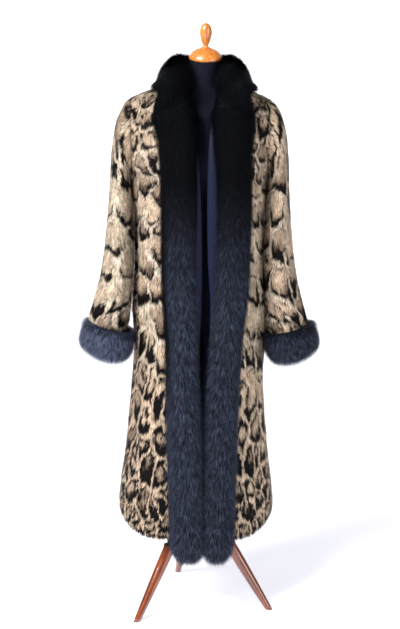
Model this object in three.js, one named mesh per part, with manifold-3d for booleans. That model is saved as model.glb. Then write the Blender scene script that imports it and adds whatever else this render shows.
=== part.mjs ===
// A long coat of spotted short-haired fur, open at the front, with a shawl collar, front bands and cuffs of
// long-haired fur, hanging on a limbless dress form that stands on a turned wooden tripod.
// Millimetres, +Z up, the front towards -Y. Left and right are as seen from the front.
// The origin is on the floor, under the middle of the outline seen from above.
import * as THREE from "three";
import Module from "manifold-3d";
import { mergeVertices } from "three/addons/utils/BufferGeometryUtils.js";

const wasm = await Module();
wasm.setup();

// Thicknesses and gaps
const SEAM = 0.3; // between two sewn pieces
const PELT = 10; // hide and short pile together
const LINING_GAP = 2.6;
const LINING = 1.2;
const SEAT = 0.5; // between the lining and the shoulders of the form

// Coat body, outer face, from the hem to the neckline
const OVAL = 2.4; // exponent of the body's cross-section: 2 is an ellipse, more is squarer
const BODY = [
  { z: 262, halfWidth: 219, front: 172, back: 172 },
  { z: 320, halfWidth: 214, front: 171, back: 170 },
  { z: 420, halfWidth: 203, front: 167, back: 164 },
  { z: 540, halfWidth: 193, front: 163, back: 157 },
  { z: 690, halfWidth: 180, front: 158, back: 150 },
  { z: 760, halfWidth: 171, front: 155, back: 147 },
  { z: 850, halfWidth: 169, front: 152, back: 142 },
  { z: 1000, halfWidth: 173, front: 148, back: 134 },
  { z: 1120, halfWidth: 175, front: 145, back: 129 },
  { z: 1190, halfWidth: 178, front: 142, back: 127 },
  { z: 1212, halfWidth: 179.5, front: 141, back: 126 },
  { z: 1226, halfWidth: 184, front: 140, back: 126 },
  { z: 1256, halfWidth: 191, front: 137, back: 124 },
  { z: 1300, halfWidth: 200, front: 130, back: 119 },
  { z: 1350, halfWidth: 205, front: 113, back: 107 },
  { z: 1386, halfWidth: 205, front: 88, back: 90 },
  { z: 1406, halfWidth: 200.5, front: 69, back: 76 },
  { z: 1416, halfWidth: 194.5, front: 64, back: 71 },
  { z: 1423.5, halfWidth: 186.8, front: 61, back: 69 },
  { z: 1436, halfWidth: 160, front: 61, back: 67 },
  { z: 1449, halfWidth: 122, front: 63, back: 68 },
  { z: 1464, halfWidth: 66, front: 66, back: 70 },
];
const HEM_Z = BODY[0].z;
const HEM = { side: 46, front: -20, back: -6, fadeZ: 560 }; // height over HEM_Z, and where it fades out

// Armhole: a plane through the shoulder tip and the underarm, square to the front view
const ARMHOLE = { bottomZ: 1214, topZ: 1424, bottomX: 180, topX: 187 };

// Soft vertical folds of the skirt: place round the body in degrees (0 right, 90 back, -90 front),
// half-spread in degrees, height of the ridge at the hem, and the height at which it has died away
const FOLDS = [
  { angle: -158, spread: 11, ridge: 5, top: 1000 },
  { angle: -22, spread: 12, ridge: 5, top: 940 },
  { angle: 28, spread: 12, ridge: 8, top: 900 },
  { angle: 62, spread: 13, ridge: 10, top: 1050 },
  { angle: 97, spread: 12, ridge: 8, top: 960 },
  { angle: 128, spread: 13, ridge: 10, top: 1080 },
  { angle: 157, spread: 11, ridge: 7, top: 880 },
];

// Front bands: middle of each band and its half-width, from the rounded lower end to the collar
const BAND = [
  { z: 176, left: -26, right: 57, half: 40, proud: 40 },
  { z: 250, left: -29, right: 61, half: 43, proud: 42 },
  { z: 415, left: -36, right: 65, half: 42, proud: 42 },
  { z: 635, left: -43, right: 69, half: 43, proud: 42 },
  { z: 800, left: -46, right: 78, half: 44, proud: 42 },
  { z: 905, left: -53, right: 88, half: 46, proud: 42 },
  { z: 1155, left: -58, right: 92, half: 47, proud: 44 },
  { z: 1320, left: -61, right: 86, half: 47, proud: 46 },
  { z: 1385, left: -68, right: 85, half: 49, proud: 46 },
];
const BAND_END = 44; // length over which the lower end rounds off
const BAND_UNDER = 4; // how far the band's flat underside lies below the coat's outer face
const BAND_TOP_Z = 1385;
// How far each lining front reaches past its band towards the middle
const LINING_EDGE = [
  { z: 240, left: -6, right: -6 },
  { z: 700, left: -2, right: -4 },
  { z: 860, left: 14, right: 6 },
  { z: 1000, left: 18, right: 20 },
  { z: 1180, left: 14, right: 24 },
  { z: 1320, left: 4, right: 14 },
  { z: 1400, left: -4, right: -2 },
];

// Collar, left half: middle of its section round the neck. shift moves both halves to the right, lean is
// the fall of the outer edge and round the way it faces, in degrees.
const COLLAR = [
  { x: -81, y: -82, z: 1437, shift: 9, half: 54, proud: 38, under: 5, lean: 18, round: -126 },
  { x: -89, y: -58, z: 1466, shift: 10, half: 53, proud: 34, under: 5, lean: 30, round: -144 },
  { x: -91, y: -24, z: 1486, shift: 10, half: 48, proud: 25, under: 5, lean: 45, round: -165 },
  { x: -88, y: 26, z: 1492, shift: 8, half: 50, proud: 26, under: 4, lean: 48, round: 163 },
  { x: -66, y: 75, z: 1481, shift: 5, half: 55, proud: 26, under: 8, lean: 62, round: 130 },
  { x: 0, y: 99, z: 1472, shift: 4, half: 58, proud: 26, under: 13, lean: 72, round: 90 },
];

// Sleeves: underarm and shoulder side of each ring; gather is the height of the gathers above the cuff
const SLEEVE = [
  { underX: 180.15, underZ: 1214, overX: 187.15, overZ: 1424, depth: 65, midY: 0, turn: 0, gather: 0 },
  { underX: 183, underZ: 1210, overX: 205, overZ: 1407, depth: 68, midY: -1, turn: 0, gather: 0 },
  { underX: 183.5, underZ: 1206, overX: 225, overZ: 1366, depth: 72, midY: -2, turn: 0, gather: 0 },
  { underX: 182.5, underZ: 1199, overX: 238, overZ: 1304, depth: 75, midY: -3, turn: 0, gather: 0 },
  { underX: 181.8, underZ: 1187, overX: 245, overZ: 1236, depth: 77, midY: -6, turn: 1, gather: 0 },
  { underX: 180.5, underZ: 1160, overX: 248, overZ: 1172, depth: 77, midY: -10, turn: 2, gather: 0 },
  { underX: 178.5, underZ: 1090, overX: 253, overZ: 1095, depth: 76, midY: -17, turn: 3, gather: 0 },
  { underX: 177.5, underZ: 1015, overX: 260, overZ: 1020, depth: 74, midY: -24, turn: 5, gather: 0 },
  { underX: 178.5, underZ: 945, overX: 270, overZ: 952, depth: 72, midY: -31, turn: 7, gather: 0.6 },
  { underX: 184, underZ: 885, overX: 282, overZ: 897, depth: 71, midY: -36, turn: 9, gather: 1.6 },
  { underX: 196, underZ: 840, overX: 292, overZ: 857, depth: 71, midY: -40, turn: 11, gather: 2.8 },
  { underX: 200, underZ: 806, overX: 299, overZ: 826, depth: 71, midY: -43, turn: 12, gather: 2.4 },
  { underX: 203, underZ: 770, overX: 303, overZ: 790, depth: 70, midY: -46, turn: 13, gather: 1.2 },
];
const SLEEVE_ROUND = 32;
const GATHERS = 8;

// Cuffs: a long-haired band round the end of the sleeve
const CUFF = {
  midX: 254, midY: -46, midZ: 772, tilt: 11, turn: 13,
  acrossInside: 54.5, depthInside: 75, wall: 18, halfHeight: 46, flare: 4,
  around: 24, section: 12,
};

// Dress form, from its flat underside to the sloping top of the neck
const FORM = [
  { z: 795, halfWidth: 140, front: 104, back: 106 },
  { z: 830, halfWidth: 149, front: 110, back: 114 },
  { z: 900, halfWidth: 148, front: 110, back: 114 },
  { z: 980, halfWidth: 138, front: 102, back: 98 },
  { z: 1070, halfWidth: 118, front: 92, back: 84 },
  { z: 1150, halfWidth: 128, front: 104, back: 92 },
  { z: 1230, halfWidth: 145, front: 122, back: 102 },
  { z: 1300, halfWidth: 158, front: 108, back: 100 },
  { z: 1350, halfWidth: 166, front: 88, back: 90 },
  { z: 1385, halfWidth: 172, front: 66, back: 74 },
];
const FORM_SHOULDER_Z = [1406, 1423.5, 1436, 1449]; // rings laid just under the coat's shoulders
const FORM_SHOULDER_DEPTH = 0.86; // their depth against the coat's, so that only the ridge carries it
const FORM_TIP = 168; // the form's shoulders stop here, short of the armhole
const NECK = [
  { z: 1447, halfWidth: 53, front: 46, back: 49, shift: 2 },
  { z: 1470, halfWidth: 46, front: 43, back: 46, shift: 5 },
  { z: 1500, halfWidth: 43.5, front: 42, back: 44, shift: 9 },
  { z: 1524, halfWidth: 44.5, front: 43, back: 45, shift: 12 },
]; // the neck leans a little to the right
const NECK_TILT = 17; // slope of the top of the neck, in degrees
const NECK_TOP_Z = 1524;
const FORM_AROUND = 22;

// Turned wood of the stand
const CAP_PROFILE = [
  [0, 0], [43, 0], [45.5, 3], [44, 9], [37, 18], [26, 25], [15, 28.5], [12, 31], [0, 31],
];
const FINIAL_PROFILE = [
  [0, 0], [9.5, 0], [7, 3], [7, 6], [11, 14], [15, 27], [16.5, 38], [15, 50], [10, 59], [4, 63], [0, 64],
];
const HUB_PROFILE = [
  [0, 0], [20, 0], [26, 8], [37, 16], [38, 54], [30, 62], [22, 66], [22, 76], [0, 76],
];
const HUB_BOTTOM_Z = 297;
const POLE_RADIUS = 15;
const LEGS = [
  { name: "leg_right", azimuth: -16 },
  { name: "leg_back", azimuth: 104 },
  { name: "leg_left", azimuth: 224 },
];
const FOOT_RADIUS = 219; // from the pole's axis to the middle of a foot
const LEG_MEET_Z = 335; // where the legs' axes meet the pole's
// Distance from the foot and radius, past the floor at both ends so that floor and hub can trim it
const LEG_PROFILE = [
  [0, -14], [9.5, -14], [9.5, 8], [12.5, 70], [15.5, 150], [16.5, 210], [18.5, 216], [18.5, 223], [12.5, 227],
  [12.5, 233], [16, 236], [16, 242], [12.5, 247], [12.5, 385], [0, 385],
];

const FINISH = {
  spotted: { color: 0xb0946e, roughness: 0.85, metalness: 0 },
  long: { color: 0x15161f, roughness: 0.75, metalness: 0 },
  satin: { color: 0x1d2138, roughness: 0.35, metalness: 0 },
  jersey: { color: 0x181b2a, roughness: 0.9, metalness: 0 },
  beech: { color: 0xc87f35, roughness: 0.3, metalness: 0 },
  leg: { color: 0x8a3f1c, roughness: 0.25, metalness: 0 },
};

const rad = THREE.MathUtils.degToRad;
const { lerp, clamp, smoothstep } = THREE.MathUtils;
const power = (value, exponent) => Math.sign(value) * Math.abs(value) ** exponent;

/** Reads every column of a table smoothly at a value of its first column. */
function reader(rows) {
  const [key, ...columns] = Object.keys(rows[0]);
  const slope = (column, i) => {
    const before = rows[Math.max(0, i - 1)];
    const after = rows[Math.min(rows.length - 1, i + 1)];
    return (after[column] - before[column]) / (after[key] - before[key]);
  };
  return (at) => {
    const value = clamp(at, rows[0][key], rows.at(-1)[key]);
    const i = Math.max(1, rows.findIndex((row) => row[key] >= value));
    const span = rows[i][key] - rows[i - 1][key];
    const s = (value - rows[i - 1][key]) / span;
    const read = {};
    for (const column of columns) {
      const from = rows[i - 1][column];
      const to = rows[i][column];
      const ease = 3 * s ** 2 - 2 * s ** 3;
      const leave = slope(column, i - 1) * (s ** 3 - 2 * s ** 2 + s);
      const arrive = slope(column, i) * (s ** 3 - s ** 2);
      read[column] = lerp(from, to, ease) + span * (leave + arrive);
    }
    return read;
  };
}

const bodyAt = reader(BODY);
const bandAt = reader(BAND);
const liningEdgeAt = reader(LINING_EDGE);

/** Closed geometry from a list of points and triangles. */
function geometryOf(points, triangles) {
  const geometry = new THREE.BufferGeometry().setFromPoints(points);
  geometry.setIndex(triangles);
  return geometry;
}

/** A cloth wall: two grids of points, [row][column], joined round their edges. A closed wall is a tube. */
function wall(outer, inner, closed = false) {
  const rows = outer.length;
  const columns = outer[0].length;
  const points = [...outer.flat(), ...inner.flat()];
  const triangles = [];
  const at = (layer, row, column) => layer * rows * columns + row * columns + (column % columns);
  const quad = (a, b, c, d) => triangles.push(a, b, c, a, c, d);
  const lastColumn = closed ? columns : columns - 1;
  for (let r = 0; r < rows - 1; r++) {
    for (let c = 0; c < lastColumn; c++) {
      quad(at(0, r, c), at(0, r, c + 1), at(0, r + 1, c + 1), at(0, r + 1, c));
      quad(at(1, r, c), at(1, r + 1, c), at(1, r + 1, c + 1), at(1, r, c + 1));
    }
  }
  for (let c = 0; c < lastColumn; c++) {
    quad(at(0, 0, c), at(1, 0, c), at(1, 0, c + 1), at(0, 0, c + 1));
    quad(at(0, rows - 1, c), at(0, rows - 1, c + 1), at(1, rows - 1, c + 1), at(1, rows - 1, c));
  }
  if (!closed) {
    for (let r = 0; r < rows - 1; r++) {
      quad(at(0, r, 0), at(0, r + 1, 0), at(1, r + 1, 0), at(1, r, 0));
      const end = columns - 1;
      quad(at(0, r, end), at(1, r, end), at(1, r + 1, end), at(0, r + 1, end));
    }
  }
  return facingOut(geometryOf(points, triangles));
}

/** A solid through a list of rings with the same number of points, closed at both ends by fans. */
function loft(rings) {
  const around = rings[0].length;
  const points = rings.flat();
  const triangles = [];
  const at = (ring, i) => ring * around + (i % around);
  for (let r = 0; r < rings.length - 1; r++) {
    for (let i = 0; i < around; i++) {
      triangles.push(at(r, i), at(r, i + 1), at(r + 1, i + 1), at(r, i), at(r + 1, i + 1), at(r + 1, i));
    }
  }
  for (const [ring, order] of [[0, -1], [rings.length - 1, 1]]) {
    const middle = new THREE.Vector3();
    rings[ring].forEach((point) => middle.addScaledVector(point, 1 / around));
    points.push(middle);
    for (let i = 0; i < around; i++) {
      const pair = [at(ring, i), at(ring, i + 1)];
      if (order < 0) pair.reverse();
      triangles.push(points.length - 1, ...pair);
    }
  }
  return facingOut(geometryOf(points, triangles));
}

/** Turns every face round if the closed surface encloses a negative volume. */
function facingOut(geometry) {
  const position = geometry.getAttribute("position");
  const index = geometry.index.array;
  const corner = [new THREE.Vector3(), new THREE.Vector3(), new THREE.Vector3()];
  let volume = 0;
  for (let i = 0; i < index.length; i += 3) {
    corner.forEach((point, k) => point.fromBufferAttribute(position, index[i + k]));
    volume += corner[0].dot(corner[1].clone().cross(corner[2]));
  }
  if (volume < 0) {
    for (let i = 0; i < index.length; i += 3) {
      [index[i + 1], index[i + 2]] = [index[i + 2], index[i + 1]];
    }
  }
  return geometry;
}

/** A closed geometry as a manifold-3d solid. */
function solidOf(geometry) {
  const bare = new THREE.BufferGeometry().setAttribute("position", geometry.getAttribute("position"));
  if (geometry.index) bare.setIndex(geometry.index);
  const merged = mergeVertices(bare, 1e-4);
  const vertProperties = merged.attributes.position.array;
  const triVerts = new Uint32Array(merged.index.array);
  return new wasm.Manifold(new wasm.Mesh({ numProp: 3, vertProperties, triVerts }));
}

/** A manifold-3d solid as a geometry. */
function geometryFrom(solid) {
  const { vertProperties, triVerts } = solid.getMesh();
  const geometry = new THREE.BufferGeometry();
  geometry.setAttribute("position", new THREE.BufferAttribute(vertProperties, 3));
  return geometry.setIndex(new THREE.BufferAttribute(triVerts, 1));
}

/** A turned piece about +Z from [radius, height] pairs that start and end on the axis. */
function turned(profile, around) {
  const points = profile.map(([radius, height]) => new THREE.Vector2(radius, height));
  return new THREE.LatheGeometry(points, around).rotateX(Math.PI / 2);
}

/** Ridge height of the skirt's folds at an angle and a height. */
function foldAt(degrees, z) {
  let height = 0;
  for (const { angle, spread, ridge, top } of FOLDS) {
    const away = Math.abs(((degrees - angle + 540) % 360) - 180) / spread;
    height += ridge * Math.exp(-away * away) * (1 - smoothstep(z, HEM_Z, top));
  }
  return height;
}

/** Rise of the hem at an angle, faded out above the skirt. */
function hemRise(angle, z) {
  const along = Math.sin(angle);
  const end = along < 0 ? HEM.front : HEM.back;
  return lerp(end, HEM.side, Math.cos(angle) ** 6) * (1 - smoothstep(z, HEM_Z, HEM.fadeZ));
}

/** Half-sizes of the coat's ring at a height, taken in by a depth along the profile's own normals. */
function ringAt(z, depth) {
  const step = 2;
  const low = bodyAt(Math.max(z - step, HEM_Z));
  const high = bodyAt(Math.min(z + step, BODY.at(-1).z));
  const span = Math.min(z + step, BODY.at(-1).z) - Math.max(z - step, HEM_Z);
  const here = bodyAt(z);
  const ring = {};
  for (const column of ["halfWidth", "front", "back"]) {
    const slope = (high[column] - low[column]) / span;
    const long = Math.hypot(1, slope);
    ring[column] = here[column] - depth / long;
    ring[column + "Drop"] = (-slope / long) * depth;
  }
  return ring;
}

/** A point of the coat's body: angle round it in radians, height on the outer face, depth under that face. */
function bodyPoint(angle, z, depth) {
  const ring = ringAt(z, depth);
  const across = Math.cos(angle);
  const along = Math.sin(angle);
  const [reach, drop] = along < 0 ? [ring.front, ring.frontDrop] : [ring.back, ring.backDrop];
  const fold = foldAt(THREE.MathUtils.radToDeg(angle), z);
  return new THREE.Vector3(
    (ring.halfWidth + fold) * power(across, 2 / OVAL),
    (reach + fold) * power(along, 2 / OVAL),
    z - across ** 2 * ring.halfWidthDrop - along ** 2 * drop + hemRise(angle, z),
  );
}

/** The armhole plane's distance from the middle at a height. */
function armholeX(z) {
  return lerp(ARMHOLE.bottomX, ARMHOLE.topX, (z - ARMHOLE.bottomZ) / (ARMHOLE.topZ - ARMHOLE.bottomZ));
}

/** Angle from the side seam at which a body ring meets the armhole's plane; 0 below and above the armhole. */
function armholeAngle(z, depth, ahead) {
  if (z < ARMHOLE.bottomZ) return 0;
  let angle = 0;
  for (let pass = 0; pass < 6; pass++) {
    const ring = ringAt(z, depth);
    const limit = armholeX(bodyPoint(ahead ? -angle : angle, z, depth).z);
    angle = ring.halfWidth > limit ? Math.acos((limit / ring.halfWidth) ** (OVAL / 2)) : 0;
  }
  return angle;
}

/** Angle on the front of a body ring at which x has a given value. */
function frontAngle(x, z, depth) {
  const { halfWidth } = ringAt(z, depth);
  return -Math.acos(power(clamp(x / halfWidth, -1, 1), OVAL / 2));
}

/** Grid of a body panel at one depth. span gives the two end angles of a row; ends that lie on a seam are
 * moved half a gap back from it. */
function bodyGrid(depth, columns, span) {
  return BODY.map(({ z }) => {
    const { from, to, seams } = span(z, depth);
    const row = [];
    for (let c = 0; c <= columns; c++) {
      const point = bodyPoint(lerp(from, to, c / columns), z, depth);
      for (const seam of c === 0 || c === columns ? seams : []) {
        if (seam.column !== (c === 0 ? 0 : 1)) continue;
        if (seam.cut) point.x -= Math.sign(point.x) * (SEAM / 2);
        else point.y += seam.side * (SEAM / 2);
      }
      row.push(point);
    }
    return row;
  });
}

function backSpan(z, depth) {
  const edge = armholeAngle(z, depth, false);
  const cut = edge > 0;
  const seams = [{ column: 0, side: 1, cut }, { column: 1, side: 1, cut }];
  return { from: edge, to: Math.PI - edge, seams };
}

/** Front edge of a front panel: beside its band, then under the collar to the neckline. */
function panelEdgeX(side, z) {
  const band = bandAt(Math.min(z, BAND_TOP_Z));
  const ease = 2.5 * smoothstep(z, 1290, 1350);
  const beside = (side < 0 ? band.left : band.right) + side * (band.half + SEAM + ease);
  const neckline = side * lerp(129, 60, smoothstep(z, 1416, BODY.at(-1).z));
  return lerp(beside, neckline, smoothstep(z, BAND_TOP_Z, 1422));
}

function frontSpan(side, edgeX) {
  return (z, depth) => {
    const edge = armholeAngle(z, depth, true);
    const seam = { column: side < 0 ? 0 : 1, side: -1, cut: edge > 0 };
    const open = frontAngle(edgeX(side, z), z, depth);
    return side < 0
      ? { from: -Math.PI + edge, to: open, seams: [seam] }
      : { from: open, to: -edge, seams: [seam] };
  };
}

function liningEdgeX(side, z) {
  const band = bandAt(Math.min(z, BAND_TOP_Z));
  const past = liningEdgeAt(z);
  const inner = side < 0 ? band.left + band.half + past.left : band.right - band.half - past.right;
  return lerp(inner, side * 58, smoothstep(z, BAND_TOP_Z, BODY.at(-1).z));
}

function pelt(columns, span) {
  return wall(bodyGrid(0, columns, span), bodyGrid(PELT, columns, span));
}

function liningPanel(columns, span) {
  const face = PELT + LINING_GAP;
  return wall(bodyGrid(face, columns, span), bodyGrid(face + LINING, columns, span));
}

/** Ring of a sleeve, taken in by a depth; side is -1 on the left. */
function sleeveRing(side, row, depth) {
  const under = new THREE.Vector3(side * row.underX, row.midY, row.underZ);
  const over = new THREE.Vector3(side * row.overX, row.midY, row.overZ);
  const middle = under.clone().lerp(over, 0.5);
  const across = over.clone().sub(under);
  const halfWidth = across.length() / 2 - depth;
  across.normalize();
  const back = new THREE.Vector3(0, 1, 0);
  const turn = rad(row.turn);
  return Array.from({ length: SLEEVE_ROUND }, (_, i) => {
    const angle = (2 * Math.PI * i) / SLEEVE_ROUND;
    const wave = row.gather * Math.cos(GATHERS * angle);
    const u = (halfWidth + wave) * Math.cos(angle);
    const v = (row.depth - depth + wave) * Math.sin(angle);
    return middle.clone()
      .addScaledVector(across, u * Math.cos(turn) + v * Math.sin(turn))
      .addScaledVector(back, v * Math.cos(turn) - u * Math.sin(turn));
  });
}

function sleeve(side) {
  const grid = (depth) => SLEEVE.map((row) => sleeveRing(side, row, depth));
  return wall(grid(0), grid(PELT), true);
}

/** A cuff: a soft ring whose inside clears the sleeve's end. */
function cuff(side) {
  const rings = [];
  for (let s = 0; s < CUFF.section; s++) {
    const angle = (2 * Math.PI * s) / CUFF.section;
    const up = CUFF.halfHeight * power(Math.sin(angle), 0.8);
    const out = CUFF.wall / 2 + (CUFF.wall / 2) * power(Math.cos(angle), 0.8);
    const bell = CUFF.flare * (1 - up / CUFF.halfHeight) * 0.5 * (out / CUFF.wall);
    const ring = [];
    for (let i = 0; i < CUFF.around; i++) {
      const a = (2 * Math.PI * i) / CUFF.around;
      ring.push(new THREE.Vector3(
        (CUFF.acrossInside + out + bell) * Math.cos(a), (CUFF.depthInside + out + bell) * Math.sin(a), up,
      ));
    }
    rings.push(ring);
  }
  rings.push(rings[0].map((point) => point.clone()));
  const points = rings.slice(0, -1).flat();
  const triangles = [];
  const at = (s, i) => (s % CUFF.section) * CUFF.around + (i % CUFF.around);
  for (let s = 0; s < CUFF.section; s++) {
    for (let i = 0; i < CUFF.around; i++) {
      triangles.push(at(s, i), at(s, i + 1), at(s + 1, i + 1), at(s, i), at(s + 1, i + 1), at(s + 1, i));
    }
  }
  const geometry = geometryOf(points, triangles);
  geometry.rotateZ(side * -rad(CUFF.turn)).rotateY(side * -rad(CUFF.tilt));
  geometry.translate(side * CUFF.midX, CUFF.midY, CUFF.midZ);
  return facingOut(geometry);
}

/** Stations of one half of the long-haired trim: the front band from its lower end up, then the collar. */
function trimStations(side) {
  const column = side < 0 ? "left" : "right";
  const lowest = BAND[0].z;
  const heights = [
    lowest, lowest + 8, lowest + 22, lowest + BAND_END, 250, 320, 415, 520, 635, 720,
    800, 905, 1000, 1080, 1155, 1240, 1320, BAND_TOP_Z,
  ];
  const stations = heights.map((z) => {
    const band = bandAt(z);
    const ring = Math.max(z, HEM_Z);
    const angle = frontAngle(band[column], ring, 0);
    const middle = bodyPoint(angle, ring, 0).setZ(z);
    const beside = bodyPoint(angle + side * 0.05, ring, 0);
    const across = beside.sub(bodyPoint(angle - side * 0.05, ring, 0)).setZ(0).normalize();
    const along = clamp((z - BAND[0].z) / BAND_END, 0, 1);
    const round = Math.sqrt(Math.max(0.06, 1 - (1 - along) ** 2));
    return { middle, across, half: band.half * round, proud: band.proud * round, under: BAND_UNDER * round };
  });
  for (const row of COLLAR) {
    const round = rad(row.round);
    const fall = rad(row.lean);
    const across = new THREE.Vector3(Math.cos(round), Math.sin(round), -Math.tan(fall)).normalize();
    if (side > 0) across.x *= -1;
    const middle = new THREE.Vector3(row.shift - side * row.x, row.y, row.z);
    stations.push({ middle, across, half: row.half, proud: row.proud, under: row.under });
  }
  return stations;
}

/** Rings of the trim through its stations, each square to the path. The first and the last are moved along
 * the path by the two ends' shifts. */
function trimRings(side, stations, from, to, steps, shifts) {
  const around = 12;
  const path = new THREE.CatmullRomCurve3(stations.map(({ middle }) => middle), false, "centripetal");
  const last = stations.length - 1;
  const rings = [];
  for (let k = 0; k <= steps; k++) {
    const at = lerp(from, to, k / steps);
    const i = clamp(Math.floor(at), 0, last - 1);
    const share = at - i;
    const [a, b] = [stations[i], stations[i + 1]];
    const tangent = path.getTangent(at / last);
    const shift = k === 0 ? shifts[0] : k === steps ? shifts[1] : 0;
    const middle = path.getPoint(at / last).addScaledVector(tangent, shift);
    const across = a.across.clone().lerp(b.across, share);
    across.addScaledVector(tangent, -across.dot(tangent)).normalize();
    const out = tangent.clone().cross(across).multiplyScalar(-side);
    const size = (column) => lerp(a[column], b[column], share);
    rings.push(Array.from({ length: around }, (_, j) => {
      const angle = (2 * Math.PI * j) / around;
      const height = Math.sin(angle) > 0 ? size("proud") * power(Math.sin(angle), 0.9)
        : size("under") * power(Math.sin(angle), 0.45);
      return middle.clone().addScaledVector(across, size("half") * power(Math.cos(angle), 0.8))
        .addScaledVector(out, height);
    }));
  }
  return rings;
}

const coat = new THREE.Group();
const stand = new THREE.Group();

function add(group, name, geometry, finish) {
  const mesh = new THREE.Mesh(geometry, new THREE.MeshStandardMaterial(FINISH[finish]));
  mesh.name = name;
  group.add(mesh);
  return mesh;
}

// Pelts and lining
add(coat, "back_panel", pelt(22, backSpan), "spotted");
add(coat, "lining_back", liningPanel(22, backSpan), "satin");
for (const [name, side] of [["left", -1], ["right", 1]]) {
  add(coat, "front_panel_" + name, pelt(10, frontSpan(side, panelEdgeX)), "spotted");
  add(coat, "lining_front_" + name, liningPanel(10, frontSpan(side, liningEdgeX)), "satin");
  add(coat, "sleeve_" + name, sleeve(side), "spotted");
  add(coat, "cuff_" + name, cuff(side), "long");
}

// Long-haired bands and collar
const trim = { left: trimStations(-1), right: trimStations(1) };
const bandLast = trim.left.length - COLLAR.length - 1;
for (const [name, side] of [["left", -1], ["right", 1]]) {
  add(coat, "band_" + name, loft(trimRings(side, trim[name], 0, bandLast, 26, [0, -SEAM / 2])), "long");
}
const collarLeft = trimRings(-1, trim.left, bandLast, trim.left.length - 1, 15, [SEAM / 2, 0]);
const collarRight = trimRings(1, trim.right, bandLast, trim.right.length - 1, 15, [SEAM / 2, 0]);
add(coat, "collar", loft([...collarLeft, ...collarRight.slice(0, -1).reverse()]), "long");

// Dress form
function formRing(row, tilt) {
  return Array.from({ length: FORM_AROUND }, (_, i) => {
    const angle = (2 * Math.PI * i) / FORM_AROUND;
    const y = (Math.sin(angle) < 0 ? row.front : row.back) * power(Math.sin(angle), 2 / row.oval);
    const x = row.halfWidth * power(Math.cos(angle), 2 / row.oval) + (row.shift ?? 0);
    return new THREE.Vector3(x, y, row.z + tilt * y);
  });
}
const formRings = FORM.map((row) => formRing({ ...row, oval: 2.2 }, 0));
for (const z of FORM_SHOULDER_Z) {
  const depth = PELT + LINING_GAP + LINING + SEAT;
  const ring = ringAt(z, depth);
  const halfWidth = Math.min(ring.halfWidth, FORM_TIP);
  const front = ring.front * FORM_SHOULDER_DEPTH;
  const back = ring.back * FORM_SHOULDER_DEPTH;
  formRings.push(formRing({ z: z - ring.halfWidthDrop, halfWidth, front, back, oval: 2.2 }, 0));
}
for (const row of NECK) {
  const tilt = Math.tan(rad(NECK_TILT)) * smoothstep(row.z, NECK[0].z, NECK_TOP_Z);
  formRings.push(formRing({ ...row, oval: 2 }, tilt));
}
add(stand, "form_torso", loft(formRings), "jersey");

// Cap and finial on the slope of the neck
const neckTop = new THREE.Group();
neckTop.position.set(NECK.at(-1).shift, 0, NECK_TOP_Z);
neckTop.rotation.x = rad(NECK_TILT);
add(neckTop, "neck_cap", turned(CAP_PROFILE, 20).translate(0, 0, SEAM + 0.2), "beech");
const capTop = CAP_PROFILE.at(-1)[1];
add(neckTop, "finial", turned(FINIAL_PROFILE, 14).translate(0, 0, capTop + 2 * SEAM + 0.2), "beech");
stand.add(neckTop);

// Pole, hub and legs
const hub = turned(HUB_PROFILE, 20).translate(0, 0, HUB_BOTTOM_Z);
add(stand, "hub", hub, "leg");
const poleFrom = HUB_BOTTOM_Z + HUB_PROFILE.at(-1)[1] + SEAM;
const poleTo = FORM[0].z - SEAM;
const pole = turned([[0, poleFrom], [POLE_RADIUS, poleFrom], [POLE_RADIUS, poleTo], [0, poleTo]], 16);
add(stand, "pole", pole, "leg");
const clearOfHub = HUB_PROFILE.map(([radius, height]) => [radius && radius + SEAM, height || -SEAM]);
const hubClear = solidOf(turned(clearOfHub, 20).translate(0, 0, HUB_BOTTOM_Z));
const below = solidOf(new THREE.BoxGeometry(1200, 1200, 200).translate(0, 0, -100));
for (const { name, azimuth } of LEGS) {
  const foot = new THREE.Vector3(FOOT_RADIUS, 0, 0).applyAxisAngle(new THREE.Vector3(0, 0, 1), rad(azimuth));
  const aim = new THREE.Vector3(0, 0, LEG_MEET_Z).sub(foot).normalize();
  const leg = turned(LEG_PROFILE, 14);
  leg.applyQuaternion(new THREE.Quaternion().setFromUnitVectors(new THREE.Vector3(0, 0, 1), aim));
  leg.translate(foot.x, foot.y, foot.z);
  add(stand, name, geometryFrom(solidOf(leg).subtract(below).subtract(hubClear)), "leg");
}

// The origin goes under the middle of the outline seen from above
const part = new THREE.Group();
part.add(coat, stand);
part.updateMatrixWorld(true);
const outline = new THREE.Box3().setFromObject(part, true);
const middle = outline.getCenter(new THREE.Vector3());
part.position.set(-middle.x, -middle.y, -outline.min.z);

export default part;
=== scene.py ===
"""Looks of a long coat of spotted fur with a shawl collar, front bands and cuffs of long-haired fur.

The coat hangs open on a limbless dress form on a turned wooden tripod. Metres, +Z up, the front towards -Y.
Tables are in millimetres and keep the names that the part's own sizes have. Left and right are as seen from
the front.
"""

import logging
import math
from dataclasses import dataclass
from enum import Enum
from typing import Callable, Optional

import bmesh
import bpy
import numpy as np
from mathutils import Matrix, Vector


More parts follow.
